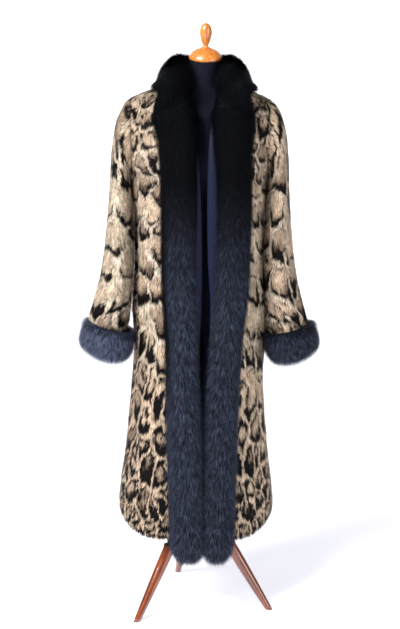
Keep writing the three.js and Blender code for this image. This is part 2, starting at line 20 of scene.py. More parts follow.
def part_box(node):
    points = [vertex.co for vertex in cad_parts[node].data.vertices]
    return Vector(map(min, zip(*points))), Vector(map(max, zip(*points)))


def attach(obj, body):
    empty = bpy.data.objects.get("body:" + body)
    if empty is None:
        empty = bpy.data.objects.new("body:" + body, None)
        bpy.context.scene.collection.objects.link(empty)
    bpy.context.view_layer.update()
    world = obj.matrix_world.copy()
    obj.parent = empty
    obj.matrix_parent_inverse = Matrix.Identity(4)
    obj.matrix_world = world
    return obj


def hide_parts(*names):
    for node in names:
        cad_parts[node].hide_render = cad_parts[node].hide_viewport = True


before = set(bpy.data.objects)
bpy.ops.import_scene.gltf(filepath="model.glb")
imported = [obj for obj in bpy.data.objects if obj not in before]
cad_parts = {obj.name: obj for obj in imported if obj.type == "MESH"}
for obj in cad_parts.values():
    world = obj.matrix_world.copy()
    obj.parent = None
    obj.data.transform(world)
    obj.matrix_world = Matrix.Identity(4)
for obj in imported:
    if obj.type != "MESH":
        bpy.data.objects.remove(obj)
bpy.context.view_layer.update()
LOG = logging.getLogger("coat")
MM = 0.001
POLE_LOW, POLE_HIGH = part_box("pole")
AXIS_Y = (POLE_LOW.y + POLE_HIGH.y) / 2  # the row's origin is under the box's middle, not under the pole

# Thicknesses and gaps, in millimetres
SEAM = 0.3
PELT = 10.0
HIDE_DEPTH = 5.0  # the hide's own face lies this far under the reach of its short pile
LINING_DEPTH = PELT + 2.6
LINING_WALL = 1.2
TUCK = 12.0  # turning of the front edge, which lies under the band
COLLAR_TURNING = 36.0  # more turning of that edge, under the collar's lower corner
COLLAR_EDGE_X = (129.0, 60.0)  # a front's edge under the collar, at its lower corner and at the neckline
COLLAR_LOW_Z = 1416.0  # height of that corner


class Side(Enum):
    """The two halves of the coat, as seen from the front."""

    LEFT = -1
    RIGHT = 1

    @property
    def word(self) -> str:
        """The half's name in piece names."""
        return self.name.lower()


class Profile:
    """Columns of sizes read smoothly along a first column."""

    def __init__(self, keys: list[float], **columns: list[float]) -> None:
        """Keeps the columns and their slopes.

        Args:
            keys: The first column, rising.
            columns: The other columns, each as long as the first.
        """
        self.keys = np.array(keys, float)
        self.columns = {name: np.array(values, float) for name, values in columns.items()}
        before = np.maximum(np.arange(len(keys)) - 1, 0)
        after = np.minimum(np.arange(len(keys)) + 1, len(keys) - 1)
        self.slopes = {
            name: (values[after] - values[before]) / (self.keys[after] - self.keys[before])
            for name, values in self.columns.items()
        }

    def at(self, where: np.ndarray) -> dict[str, np.ndarray]:
        """Reads every column.

        Args:
            where: Values of the first column.

        Returns:
            The columns' values there, by name.
        """
        value = np.clip(where, self.keys[0], self.keys[-1])
        i = np.clip(np.searchsorted(self.keys, value), 1, len(self.keys) - 1)
        span = self.keys[i] - self.keys[i - 1]
        s = (value - self.keys[i - 1]) / span
        ease = 3 * s**2 - 2 * s**3
        read = {}
        for name, values in self.columns.items():
            slope = self.slopes[name]
            bend = slope[i - 1] * (s**3 - 2 * s**2 + s) + slope[i] * (s**3 - s**2)
            read[name] = values[i - 1] * (1 - ease) + values[i] * ease + span * bend
        return read

    def read(self, where: float) -> dict[str, float]:
        """Reads every column at one place, as plain numbers."""
        return {name: float(value) for name, value in self.at(np.array(where)).items()}


# Coat body, outer face, from the hem to the neckline
OVAL = 2.4
BODY = Profile(
    [262, 320, 420, 540, 690, 760, 850, 1000, 1120, 1190, 1212, 1226, 1256, 1300, 1350, 1386, 1406, 1416, 1423.5,
     1436, 1449, 1464],
    half_width=[219, 214, 203, 193, 180, 171, 169, 173, 175, 178, 179.5, 184, 191, 200, 205, 205, 200.5, 194.5,
                186.8, 160, 122, 66],
    front=[172, 171, 167, 163, 158, 155, 152, 148, 145, 142, 141, 140, 137, 130, 113, 88, 69, 64, 61, 61, 63, 66],
    back=[172, 170, 164, 157, 150, 147, 142, 134, 129, 127, 126, 126, 124, 119, 107, 90, 76, 71, 69, 67, 68, 70],
)
HEM_Z = 262.0
NECKLINE_Z = 1464.0
HEM_SIDE, HEM_FRONT, HEM_BACK, HEM_FADE_Z = 46.0, -20.0, -6.0, 560.0
ARMHOLE_LOW = (180.0, 1214.0)
ARMHOLE_HIGH = (187.0, 1424.0)

# Skirt folds: angle round the body, half-spread, ridge at the hem, height at which the ridge has died away
FOLDS = [
    (-158, 11, 5, 1000), (-22, 12, 5, 940), (28, 12, 8, 900), (62, 13, 10, 1050), (97, 12, 8, 960),
    (128, 13, 10, 1080), (157, 11, 7, 880),
]
BAND = Profile(
    [176, 250, 415, 635, 800, 905, 1155, 1320, 1385],
    left=[-26, -29, -36, -43, -46, -53, -58, -61, -68],
    right=[57, 61, 65, 69, 78, 88, 92, 86, 85],
    half=[40, 43, 42, 43, 44, 46, 47, 47, 49],
    proud=[40, 42, 42, 42, 42, 42, 44, 46, 46],
)
BAND_LOW_Z, BAND_END, BAND_TOP_Z = 176.0, 44.0, 1385.0
LINING_EDGE = Profile(
    [240, 700, 860, 1000, 1180, 1320, 1400], left=[-6, -2, 14, 18, 14, 4, -4], right=[-6, -4, 6, 20, 24, 14, -2]
)


def smoothstep(value: np.ndarray, low: float, high: float) -> np.ndarray:
    """The usual soft step from 0 at low to 1 at high.

    Args:
        value: Where to read it.
        low: Where the step starts.
        high: Where it ends.

    Returns:
        The step's height.
    """
    share = np.clip((value - low) / (high - low), 0, 1)
    return share * share * (3 - 2 * share)


def round_ring(count: int) -> np.ndarray:
    """Evenly spaced angles once round a ring, in radians."""
    return 2 * np.pi * np.arange(count) / count


def hermite(starts: np.ndarray, ends: np.ndarray, leaves: np.ndarray, arrives: np.ndarray, s: float) -> np.ndarray:
    """A point on a smooth curve between two points.

    Args:
        starts: The first point.
        ends: The second point.
        leaves: The curve's slope at the first.
        arrives: Its slope at the second.
        s: Share of the way.

    Returns:
        The point.
    """
    square, cube = s * s, s * s * s
    return (starts * (1 - 3 * square + 2 * cube) + ends * (3 * square - 2 * cube)
            + leaves * (s - 2 * square + cube) + arrives * (cube - square))


def signed_power(value: np.ndarray, exponent: float) -> np.ndarray:
    """A power that keeps its base's sign."""
    return np.sign(value) * np.abs(value) ** exponent


def body_ring(z: np.ndarray, depth: np.ndarray) -> dict[str, np.ndarray]:
    """Half-sizes of the body's ring, taken in along the profile's normals.

    Args:
        z: Height on the outer face.
        depth: Depth under that face.

    Returns:
        half_width, front and back, and each one's drop in height.
    """
    low, high = np.maximum(z - 2, HEM_Z), np.minimum(z + 2, NECKLINE_Z)
    below, above, here = BODY.at(low), BODY.at(high), BODY.at(z)
    ring = {}
    for name in ("half_width", "front", "back"):
        slope = (above[name] - below[name]) / (high - low)
        long = np.hypot(1, slope)
        ring[name] = here[name] - depth / long
        ring[name + "_drop"] = -slope / long * depth
    return ring


def body_point(angle: np.ndarray, z: np.ndarray, depth: np.ndarray) -> np.ndarray:
    """Points of the coat's body.

    Args:
        angle: Angle round the body, in radians: 0 right, a quarter turn at the back.
        z: Height on the outer face.
        depth: Depth under that face.

    Returns:
        The points in millimetres, the last axis x, y, z.
    """
    ring = body_ring(z, depth)
    across, along = np.cos(angle), np.sin(angle)
    ahead = along < 0
    reach = np.where(ahead, ring["front"], ring["back"])
    drop = np.where(ahead, ring["front_drop"], ring["back_drop"])
    degrees = np.degrees(angle)
    fold = np.zeros_like(across)
    for middle, spread, ridge, top in FOLDS:
        away = np.abs((degrees - middle + 540) % 360 - 180) / spread
        fold = fold + ridge * np.exp(-away * away) * (1 - smoothstep(z, HEM_Z, top))
    end = np.where(ahead, HEM_FRONT, HEM_BACK)
    rise = (end + (HEM_SIDE - end) * np.cos(angle) ** 6) * (1 - smoothstep(z, HEM_Z, HEM_FADE_Z))
    return np.stack(
        [
            (ring["half_width"] + fold) * signed_power(across, 2 / OVAL),
            (reach + fold) * signed_power(along, 2 / OVAL),
            z - across**2 * ring["half_width_drop"] - along**2 * drop + rise,
        ],
        axis=-1,
    )


def armhole_x(z: np.ndarray) -> np.ndarray:
    """The armhole plane's distance from the middle at a height."""
    share = (z - ARMHOLE_LOW[1]) / (ARMHOLE_HIGH[1] - ARMHOLE_LOW[1])
    return ARMHOLE_LOW[0] + share * (ARMHOLE_HIGH[0] - ARMHOLE_LOW[0])


def armhole_angle(z: np.ndarray, depth: np.ndarray, ahead: bool) -> np.ndarray:
    """Angle from the side seam at which each ring meets the armhole.

    Args:
        z: Heights on the outer face.
        depth: Depth under that face.
        ahead: Whether the front half is meant.

    Returns:
        The angles, 0 where the ring stays inside the armhole's plane.
    """
    angle = np.zeros_like(z)
    for _ in range(6):
        limit = armhole_x(body_point(-angle if ahead else angle, z, depth)[..., 2])
        wide = body_ring(z, depth)["half_width"]
        share = np.clip(limit / wide, 0, 1)
        angle = np.where(z < ARMHOLE_LOW[1], 0.0, np.arccos(share ** (OVAL / 2)))
    return angle


def front_angle(x: np.ndarray, z: np.ndarray, depth: np.ndarray) -> np.ndarray:
    """Angle on the front of each ring at which x has a given value."""
    share = np.clip(x / body_ring(z, depth)["half_width"], -1, 1)
    return -np.arccos(signed_power(share, OVAL / 2))


def panel_edge_x(side: Side, z: np.ndarray) -> np.ndarray:
    """Front edge of a front panel: beside its band, then under the collar to the neckline."""
    band = BAND.at(np.minimum(z, BAND_TOP_Z))
    sign = side.value
    ease = 2.5 * smoothstep(z, 1290, 1350)  # a wider gap where the band turns into the collar
    beside = band[side.word] + sign * (band["half"] + SEAM + ease)
    corner, top = COLLAR_EDGE_X
    neckline = sign * (corner + (top - corner) * smoothstep(z, COLLAR_LOW_Z, NECKLINE_Z))
    share = smoothstep(z, BAND_TOP_Z, 1422)
    return beside + (neckline - beside) * share


def tucked_edge_x(side: Side, z: np.ndarray) -> np.ndarray:
    """Front edge of a pelt whose turning is tucked under its band, and further under the collar's corner."""
    tucked = TUCK * (1 - smoothstep(z, 1420, NECKLINE_Z))
    corner = COLLAR_TURNING * smoothstep(z, 1385, 1412) * (1 - smoothstep(z, 1442, NECKLINE_Z))
    return panel_edge_x(side, z) - side.value * (tucked + corner)


def lining_edge_x(side: Side, z: np.ndarray) -> np.ndarray:
    """Front edge of a front lining, a little past its band towards the middle."""
    band = BAND.at(np.minimum(z, BAND_TOP_Z))
    past = LINING_EDGE.at(z)[side.word]
    sign = side.value
    inner = band[side.word] - sign * (band["half"] + past)
    share = smoothstep(z, BAND_TOP_Z, NECKLINE_Z)
    return inner + (sign * 58 - inner) * share


# ---- Nodes and finishes


def linear(hex_colour: str) -> tuple[float, float, float, float]:
    """Turns an sRGB hex colour into the linear one that a shader takes.

    Args:
        hex_colour: Six hex digits.

    Returns:
        Red, green, blue and an alpha of 1.
    """
    parts = [int(hex_colour[i : i + 2], 16) / 255 for i in (0, 2, 4)]
    return (*[p / 12.92 if p <= 0.04045 else ((p + 0.055) / 1.055) ** 2.4 for p in parts], 1.0)


def wire(tree: bpy.types.NodeTree, made: bpy.types.Node, inputs: dict) -> bpy.types.Node:
    """Sets or links a node's inputs.

    Args:
        tree: The tree that it is in.
        made: The node.
        inputs: A value, an output socket, or a node for its first output, by the input's name or number.

    Returns:
        The node.
    """
    for name, value in inputs.items():
        if isinstance(value, bpy.types.Node):
            value = value.outputs[0]
        if isinstance(value, bpy.types.NodeSocket):
            tree.links.new(value, made.inputs[name])
        else:
            made.inputs[name].default_value = value
    return made


def node(tree: bpy.types.NodeTree, kind: str, inputs: Optional[dict] = None, **settings: object) -> bpy.types.Node:
    """Adds a node with its settings and links.

    Args:
        tree: The tree that it goes into.
        kind: The node's type.
        inputs: What wire() takes.
        settings: The node's own properties.

    Returns:
        The node.
    """
    made = tree.nodes.new(kind)
    for name, value in settings.items():
        setattr(made, name, value)
    return wire(tree, made, inputs or {})


def new_material(name: str) -> tuple[bpy.types.Material, bpy.types.NodeTree, bpy.types.Node]:
    """Makes an empty material.

    Args:
        name: The material's name.

    Returns:
        The material, its tree and its shader.
    """
    material = bpy.data.materials.new(name)
    material.use_nodes = True
    tree = material.node_tree
    tree.nodes.clear()
    shader = node(tree, "ShaderNodeBsdfPrincipled")
    node(tree, "ShaderNodeOutputMaterial", {"Surface": shader.outputs["BSDF"]})
    return material, tree, shader


def read_pile(tree: bpy.types.NodeTree) -> tuple:
    """Reads what the tufts of a pile carry.

    Args:
        tree: The tree of the pile's material.

    Returns:
        The root's place on the pelt, the place along the tuft, the tuft's own shade, and the outputs of its tone.
    """
    names = ("pelt", "along", "shade", "tone")
    pelt, along, shade, tone = (node(tree, "ShaderNodeAttribute", attribute_name=name).outputs for name in names)
    return pelt["Vector"], along["Fac"], shade["Fac"], node(tree, "ShaderNodeSeparateXYZ", {0: tone["Vector"]}).outputs


@dataclass(frozen=True)
class SpottedPile:
    """Short glossy wild-cat pile: cloud-shaped marks, dark at their lower edges, with pale lanes between them.

    The pattern is read at each tuft's root, in clouds rather than in millimetres, from the attribute "pelt".
    """

    name: str = "spotted_short_pile"
    lane: str = "FAEEDC"
    ground: str = "EBD0B2"
    cloud: str = "6C5749"
    rim: str = "0D0808"
    belly: str = "F9E6CA"
    roughness: float = 0.6

    def material(self) -> bpy.types.Material:
        """Builds the material."""
        material, tree, shader = new_material(self.name)
        pelt, along, shade, tones = read_pile(tree)
        # the marks' outlines wander, and each hair takes its colour from a little beside its root
        broad = node(tree, "ShaderNodeTexNoise", {"Vector": pelt, "Scale": 1.1, "Detail": 3.0})
        fine = node(tree, "ShaderNodeTexNoise", {"Vector": pelt, "Scale": 6.0, "Detail": 2.0})
        strayed = pelt
        for noise, reach in ((broad, 1.05), (fine, 0.28)):
            middle = node(tree, "ShaderNodeVectorMath", {0: noise.outputs["Color"], 1: (0.5, 0.5, 0.5)},
                          operation="SUBTRACT")
            strayed = node(tree, "ShaderNodeVectorMath", {0: middle, 1: (reach, reach, 0), 2: strayed},
                           operation="MULTIPLY_ADD")
        jitter = node(tree, "ShaderNodeMath", {0: shade, 1: 0.06, 2: -0.03}, operation="MULTIPLY_ADD")
        strayed = node(tree, "ShaderNodeVectorMath", {0: strayed, 1: jitter}, operation="ADD")
        cells, edges, dots = (
            node(tree, "ShaderNodeTexVoronoi", {"Vector": strayed, "Scale": scale, "Randomness": uneven},
                 voronoi_dimensions="2D", feature=feature)
            for scale, uneven, feature in ((1.0, 0.82, "F1"), (1.0, 0.82, "DISTANCE_TO_EDGE"), (3.1, 0.9, "F1"))
        )
        edge = edges.outputs["Distance"]
        centre = node(tree, "ShaderNodeSeparateXYZ", {0: cells.outputs["Position"]})
        place = node(tree, "ShaderNodeSeparateXYZ", {0: strayed})
        rise = node(tree, "ShaderNodeMath", {0: place.outputs["Y"], 1: centre.outputs["Y"]}, operation="SUBTRACT")
        low = node(tree, "ShaderNodeMapRange", {0: rise, 1: 0.18, 2: -0.42, 3: 0.0, 4: 1.0},
                   interpolation_type="SMOOTHSTEP")
        chance = node(tree, "ShaderNodeSeparateColor", {0: cells.outputs["Color"]})
        # a lane of pale ground round each cloud, then the dark rim, then the cloud's own fill
        # tone Y: how closed and strong the rims are; it also paints shade beside the left sleeve and on the neck under
        # the collar
        closed = tones["Y"]
        ringed = node(tree, "ShaderNodeMapRange", {0: closed, 1: 0.6, 2: 1.3})
        lane_width = node(tree, "ShaderNodeMapRange", {0: broad.outputs["Fac"], 1: 0.3, 2: 0.7, 3: 0.02, 4: 0.13})
        lane_width = node(tree, "ShaderNodeMath", {0: ringed, 1: 0.005, 2: lane_width},
                          operation="MULTIPLY_ADD")
        inside = node(tree, "ShaderNodeMath", {0: edge, 1: lane_width}, operation="SUBTRACT")
        in_cloud = node(tree, "ShaderNodeMapRange", {0: inside, 1: -0.015, 2: 0.02})
        gaps = node(tree, "ShaderNodeTexNoise", {"Vector": pelt, "Scale": 2.4, "Detail": 2.0})
        ragged = node(tree, "ShaderNodeMapRange", {0: gaps.outputs["Fac"], 1: 0.35, 2: 0.65, 3: 0.0, 4: 0.13})
        ring = node(tree, "ShaderNodeMath", {0: ringed, 1: 0.08}, operation="MULTIPLY")
        thin = node(tree, "ShaderNodeMath", {0: ragged, 1: closed, 2: ring}, operation="MULTIPLY_ADD")
        thick = node(tree, "ShaderNodeMath", {0: closed, 1: 0.12, 2: 0.16}, operation="MULTIPLY_ADD")
        thick = node(tree, "ShaderNodeMath", {0: thick, 1: low}, operation="MULTIPLY")
        rim_width = node(tree, "ShaderNodeMath", {0: thin, 1: thick}, operation="ADD")
        past_rim = node(tree, "ShaderNodeMath", {0: inside, 1: rim_width}, operation="DIVIDE")
        fill = node(tree, "ShaderNodeMapRange", {0: past_rim, 1: 0.82, 2: 1.2},
                    interpolation_type="SMOOTHSTEP")
        solid = node(tree, "ShaderNodeMath", {0: 1.0, 1: fill}, operation="SUBTRACT")
        rim = node(tree, "ShaderNodeMath", {0: solid, 1: in_cloud}, operation="MULTIPLY")
        strong = node(tree, "ShaderNodeMapRange", {0: rim_width, 1: 0.012, 2: 0.045})
        rim = node(tree, "ShaderNodeMath", {0: rim, 1: strong}, operation="MULTIPLY")
        # small solid spots, most of them in the lanes and towards the hem
        dot_chance = node(tree, "ShaderNodeSeparateColor", {0: dots.outputs["Color"]})
        dot = node(tree, "ShaderNodeMapRange", {0: dots.outputs["Distance"], 1: 0.4, 2: 0.26})
        chosen = node(tree, "ShaderNodeMath", {0: dot_chance, 1: tones["Z"]}, operation="LESS_THAN")
        dot = node(tree, "ShaderNodeMath", {0: dot, 1: chosen}, operation="MULTIPLY")
        rim = node(tree, "ShaderNodeMath", {0: rim, 1: dot}, operation="MAXIMUM")
        # clouds differ in how dark their fill is, and darken downwards
        dim = node(tree, "ShaderNodeMath", {0: ringed, 1: 0.12, 2: -0.15}, operation="MULTIPLY_ADD")
        depth = node(tree, "ShaderNodeMath", {0: chance, 1: 0.7, 2: dim}, operation="MULTIPLY_ADD")
        depth = node(tree, "ShaderNodeMath", {0: low, 1: 0.85, 2: depth}, operation="MULTIPLY_ADD",
                     use_clamp=True)
        filled = node(tree, "ShaderNodeMix", {0: depth, 6: linear(self.ground), 7: linear(self.cloud)},
                      data_type="RGBA").outputs[2]
        tan = node(tree, "ShaderNodeMath", {0: ringed, 1: 0.9, 2: gaps.outputs["Fac"]}, operation="MULTIPLY_ADD",
                   use_clamp=True)
        between = node(tree, "ShaderNodeMix", {0: tan, 6: linear(self.lane), 7: linear(self.ground)},
                       data_type="RGBA").outputs[2]
        # ticking: dark-tipped hairs scattered over the clouds
        tick_place = node(tree, "ShaderNodeVectorMath", {0: pelt, 1: (34, 12, 1)}, operation="MULTIPLY")
        ticks = node(tree, "ShaderNodeTexNoise", {"Vector": tick_place, "Scale": 1.0, "Detail": 1.0})
        tick = node(tree, "ShaderNodeMapRange", {0: ticks.outputs["Fac"], 1: 0.58, 2: 0.7, 3: 0.0, 4: 0.75})
        rim = node(tree, "ShaderNodeMath", {0: rim, 1: tick}, operation="MAXIMUM")
        coat = between
        for share, colour in ((in_cloud, filled), (tones["X"], linear(self.belly)), (rim, linear(self.rim))):
            coat = node(tree, "ShaderNodeMix", {0: share, 6: coat, 7: colour}, data_type="RGBA").outputs[2]
        # streaks and locks run with the pile, each tuft has its own shade, and tips are lighter than roots
        # the darker roots and bare hide are partly a darker underfur and partly painted shade deep in the pile
        shades = []
        for scale, dark, bright in (((9, 2.6, 1), 0.6, 1.3), ((26, 7, 1), 0.7, 1.25)):
            streak_place = node(tree, "ShaderNodeVectorMath", {0: pelt, 1: scale}, operation="MULTIPLY")
            streaks = node(tree, "ShaderNodeTexNoise", {"Vector": streak_place, "Scale": 1.0, "Detail": 2.0})
            shades.append((streaks.outputs["Fac"], 0.32, 0.68, dark, bright))
        factor = 1.0
        shades += [(shade, 0.0, 1.0, 0.62, 1.28), (along, 0.0, 1.0, 0.4, 1.15)]
        for source, low_end, high_end, dark, bright in shades:
            part = node(tree, "ShaderNodeMapRange", {0: source, 1: low_end, 2: high_end, 3: dark, 4: bright})
            factor = node(tree, "ShaderNodeMath", {0: part, 1: factor}, operation="MULTIPLY")
        lit = node(tree, "ShaderNodeVectorMath", {0: coat, "Scale": factor}, operation="SCALE")
        wire(tree, shader, {"Base Color": lit, "Roughness": self.roughness, "Specular IOR Level": 0.1,
                            "Sheen Weight": 0.01, "Sheen Roughness": 0.4})
        return material


@dataclass(frozen=True)
class LongPile:
    """Long blue-black guard hair over a darker underfur, glossy, with blue-grey tips that catch the light."""

    name: str = "long_blue_black_pile"
    root: str = "040509"
    tip: str = "747E9C"
    roughness: float = 0.62

    def material(self) -> bpy.types.Material:
        """Builds the material."""
        material, tree, shader = new_material(self.name)
        pelt, along, shade, tones = read_pile(tree)
        # locks of hair some 2 mm wide and 12 mm long lie together, lighter and darker
        place = node(tree, "ShaderNodeVectorMath", {0: pelt, 1: (560, 80, 1)}, operation="MULTIPLY")
        locks = node(tree, "ShaderNodeTexNoise", {"Vector": place, "Scale": 1.0, "Detail": 3.0})
        lock = node(tree, "ShaderNodeMapRange", {0: locks.outputs["Fac"], 1: 0.32, 2: 0.68})
        own = node(tree, "ShaderNodeMath", {0: shade, 1: 0.5}, operation="ADD")
        light = node(tree, "ShaderNodeMath", {0: lock, 1: own}, operation="MULTIPLY")
        light = node(tree, "ShaderNodeMath", {0: light, 1: 2.3}, operation="POWER")
        light = node(tree, "ShaderNodeMath", {0: light, 1: along}, operation="MULTIPLY")
        # tone X: painted light on the tips of bands, collar and cuffs, and painted shade on the bands' outer side
        light = node(tree, "ShaderNodeMath", {0: light, 1: tones["X"]}, operation="MULTIPLY", use_clamp=True)
        hair = node(tree, "ShaderNodeMix", {0: light, 6: linear(self.root), 7: linear(self.tip)},
                    data_type="RGBA").outputs[2]
        wire(tree, shader, {"Base Color": hair, "Roughness": self.roughness, "Specular IOR Level": 0.06})
        return material


@dataclass(frozen=True)
class Satin:
    """Polyester lining satin: long floats over a fine twill, which give it a soft sheen along the weft."""

    name: str = "navy_lining_satin"
    colour: str = "181E3C"
    shadow: str = "0C1026"
    thread_mm: float = 0.9  # real threads are 0.15 mm apart; drawn coarser so that they show

    def material(self) -> bpy.types.Material:
        """Builds the material."""
        material, tree, shader = new_material(self.name)
        place = node(tree, "ShaderNodeTexCoord").outputs["Object"]
        per_metre = 1 / (self.thread_mm * MM)
        floats = node(tree, "ShaderNodeMapping",
                      {"Vector": place, "Scale": (per_metre, per_metre, per_metre * 0.18)})
        weave = node(tree, "ShaderNodeTexNoise", {"Vector": floats, "Scale": 1.0, "Detail": 1.0})
        slubs = node(tree, "ShaderNodeTexNoise", {"Vector": place, "Scale": 9.0, "Detail": 3.0})
        mixed = node(tree, "ShaderNodeMix", {0: slubs.outputs["Fac"], 6: linear(self.shadow), 7: linear(self.colour)},
                     data_type="RGBA").outputs[2]
        rough = node(tree, "ShaderNodeMapRange", {0: weave.outputs["Fac"], 3: 0.55, 4: 0.7})
        bump = node(tree, "ShaderNodeBump", {"Height": weave.outputs["Fac"], "Strength": 0.12, "Distance": 0.0004})
        wire(tree, shader, {"Base Color": mixed, "Roughness": rough, "Normal": bump, "Anisotropic": 0.4,
                            "Specular IOR Level": 0.2, "Sheen Weight": 0.04, "Sheen Tint": linear("7C8CC8")})
        return material


@dataclass(frozen=True)
class Jersey:
    """Cotton jersey stretched over the form: fine vertical ribs of knit, matt, with a little fluff."""

    name: str = "dark_form_jersey"
    colour: str = "0F121F"
    rib: str = "06080E"
    rib_mm: float = 1.6  # real wales are 0.8 mm apart; drawn at twice that so that they show

    def material(self) -> bpy.types.Material:
        """Builds the material."""
        material, tree, shader = new_material(self.name)
        place = node(tree, "ShaderNodeTexCoord").outputs["Object"]
        wales = node(tree, "ShaderNodeTexWave", {"Vector": place, "Scale": 0.314 / (self.rib_mm * MM) / 2,
                                                 "Distortion": 0.6, "Detail": 1.0}, bands_direction="X")
        fluff = node(tree, "ShaderNodeTexNoise", {"Vector": place, "Scale": 60.0, "Detail": 3.0})
        ribs = node(tree, "ShaderNodeMix", {0: wales.outputs["Fac"], 6: linear(self.rib), 7: linear(self.colour)},
                    data_type="RGBA").outputs[2]
        worn = node(tree, "ShaderNodeMapRange", {0: fluff.outputs["Fac"], 3: 0.75, 4: 1.3})
        mixed = node(tree, "ShaderNodeVectorMath", {0: ribs, "Scale": worn}, operation="SCALE")
        bump = node(tree, "ShaderNodeBump", {"Height": wales.outputs["Fac"], "Strength": 0.3, "Distance": 0.0005})
        wire(tree, shader, {"Base Color": mixed, "Normal": bump, "Roughness": 0.85, "Specular IOR Level": 0.08,
                            "Sheen Weight": 0.01, "Sheen Tint": linear("5A6480")})
        return material


@dataclass(frozen=True)
class TurnedWood:
    """Beech turned on a lathe, stained and lacquered: fine grain along the piece under a clear glossy coat."""

    name: str
    light: str
    dark: str
    fleck_mm: float = 3.0
    roughness: float = 0.32
    lacquer: float = 0.6

    def material(self) -> bpy.types.Material:
        """Builds the material."""
        material, tree, shader = new_material(self.name)
        place = node(tree, "ShaderNodeAttribute", attribute_name="grain").outputs["Vector"]
        per_metre = 1 / (self.fleck_mm * MM)
        lengthwise = node(tree, "ShaderNodeMapping",
                          {"Vector": place, "Scale": (per_metre, per_metre, per_metre * 0.06)})
        grain = node(tree, "ShaderNodeTexNoise", {"Vector": lengthwise, "Scale": 0.6, "Detail": 5.0,
                                                  "Distortion": 0.4})
        flecks = node(tree, "ShaderNodeTexNoise", {"Vector": lengthwise, "Scale": 3.0, "Detail": 2.0})
        mixed = node(tree, "ShaderNodeMath", {0: flecks.outputs["Fac"], 1: 0.35, 2: grain.outputs["Fac"]},
                     operation="MULTIPLY_ADD")
        share = node(tree, "ShaderNodeMapRange", {0: mixed, 1: 0.45, 2: 0.9})
        colour = node(tree, "ShaderNodeMix", {0: share, 6: linear(self.light), 7: linear(self.dark)},
                      data_type="RGBA").outputs[2]
        rough = node(tree, "ShaderNodeMapRange",
                     {0: grain.outputs["Fac"], 3: self.roughness, 4: self.roughness + 0.14})
        bump = node(tree, "ShaderNodeBump", {"Height": grain.outputs["Fac"], "Strength": 0.08, "Distance": 0.0004})
        wire(tree, shader, {"Base Color": colour, "Roughness": rough, "Normal": bump, "Coat Weight": self.lacquer,
                            "Coat Roughness": 0.05})
        return material


@dataclass(frozen=True)
class Paper:
    """Seamless white photographer's paper for the floor and the backdrop."""

    name: str = "studio_paper"
    colour: str = "F7F7FA"
    glow: str = "F4F3FF"
    lit: float = 0.42
    roughness: float = 0.9

    def material(self) -> bpy.types.Material:
        """Builds the material."""
        material, tree, shader = new_material(self.name)
        wire(tree, shader, {"Base Color": linear(self.colour), "Roughness": self.roughness,
                            "Emission Color": linear(self.glow), "Emission Strength": self.lit})
        return material


# ---- Meshes


def add_object(name: str, data: bpy.types.ID) -> bpy.types.Object:
    """Puts an object in the scene.

    Args:
        name: Its name.
        data: Its mesh, light or camera.

    Returns:
        The object.
    """
    made = bpy.data.objects.new(name, data)
    bpy.context.scene.collection.objects.link(made)
    return made


def add_mesh(name: str, points: np.ndarray, faces: list, material: bpy.types.Material) -> bpy.types.Object:
    """Makes a smooth mesh object at the origin.

    Args:
        name: The piece's name.
        points: Its points in millimetres round the pole's axis.
        faces: Lists of point numbers.
        material: Its material.

    Returns:
        The object.
    """
    place = np.asarray(points, float).reshape(-1, 3) * MM + np.array([0, AXIS_Y, 0])
    mesh = bpy.data.meshes.new(name)
    mesh.from_pydata(place.tolist(), [], faces)
    mesh.materials.append(material)
    made = add_object(name, mesh)
    shaping = bmesh.new()
    shaping.from_mesh(mesh)
    if shaping.calc_volume(signed=True) < 0:
        bmesh.ops.reverse_faces(shaping, faces=shaping.faces[:])
    shaping.to_mesh(mesh)
    shaping.free()
    mesh.shade_smooth()
    return made


def set_attribute(made: bpy.types.Object, name: str, values: np.ndarray) -> None:
    """Keeps one vector or number for each point of a mesh.

    Args:
        made: The object.
        name: The attribute's name.
        values: One row of three, or one number, for each point.
    """
    flat = np.asarray(values, np.float32)
    kind, field_name = ("FLOAT_VECTOR", "vector") if flat.ndim == 2 else ("FLOAT", "value")
    attribute = made.data.attributes.new(name, kind, "POINT")
    attribute.data.foreach_set(field_name, flat.ravel())


def wall_faces(rows: int, columns: int, closed: bool) -> list:
    """Faces of a cloth wall: an outer and an inner grid of points joined round their edges.

    Args:
        rows: Rows of each grid.
        columns: Columns of each grid.
        closed: Whether the last column joins the first.

    Returns:
        Lists of point numbers.
    """
    size = rows * columns

    def at(layer: int, row: int, column: int) -> int:
        """Number of a point."""
        return layer * size + row * columns + column % columns

    faces = []
    last = columns if closed else columns - 1
    for r in range(rows - 1):
        for c in range(last):
            faces.append((at(0, r, c), at(0, r, c + 1), at(0, r + 1, c + 1), at(0, r + 1, c)))
            faces.append((at(1, r, c), at(1, r + 1, c), at(1, r + 1, c + 1), at(1, r, c + 1)))
    for c in range(last):
        faces.append((at(0, 0, c), at(1, 0, c), at(1, 0, c + 1), at(0, 0, c + 1)))
        top = rows - 1
        faces.append((at(0, top, c), at(0, top, c + 1), at(1, top, c + 1), at(1, top, c)))
    if not closed:
        for r in range(rows - 1):
            end = columns - 1
            faces.append((at(0, r, 0), at(0, r + 1, 0), at(1, r + 1, 0), at(1, r, 0)))
            faces.append((at(0, r, end), at(1, r, end), at(1, r + 1, end), at(0, r + 1, end)))
    return faces


def add_wall(name: str, outer: np.ndarray, inner: np.ndarray, closed: bool, material: bpy.types.Material
             ) -> bpy.types.Object:
    """Makes a cloth wall between two grids of points.

    Args:
        name: The piece's name.
        outer: The outer grid, by row and column.
        inner: The inner grid.
        closed: Whether the last column joins the first.
        material: Its material.

    Returns:
        The object.
    """
    points = np.concatenate([outer.reshape(-1, 3), inner.reshape(-1, 3)])
    return add_mesh(name, points, wall_faces(*outer.shape[:2], closed), material)


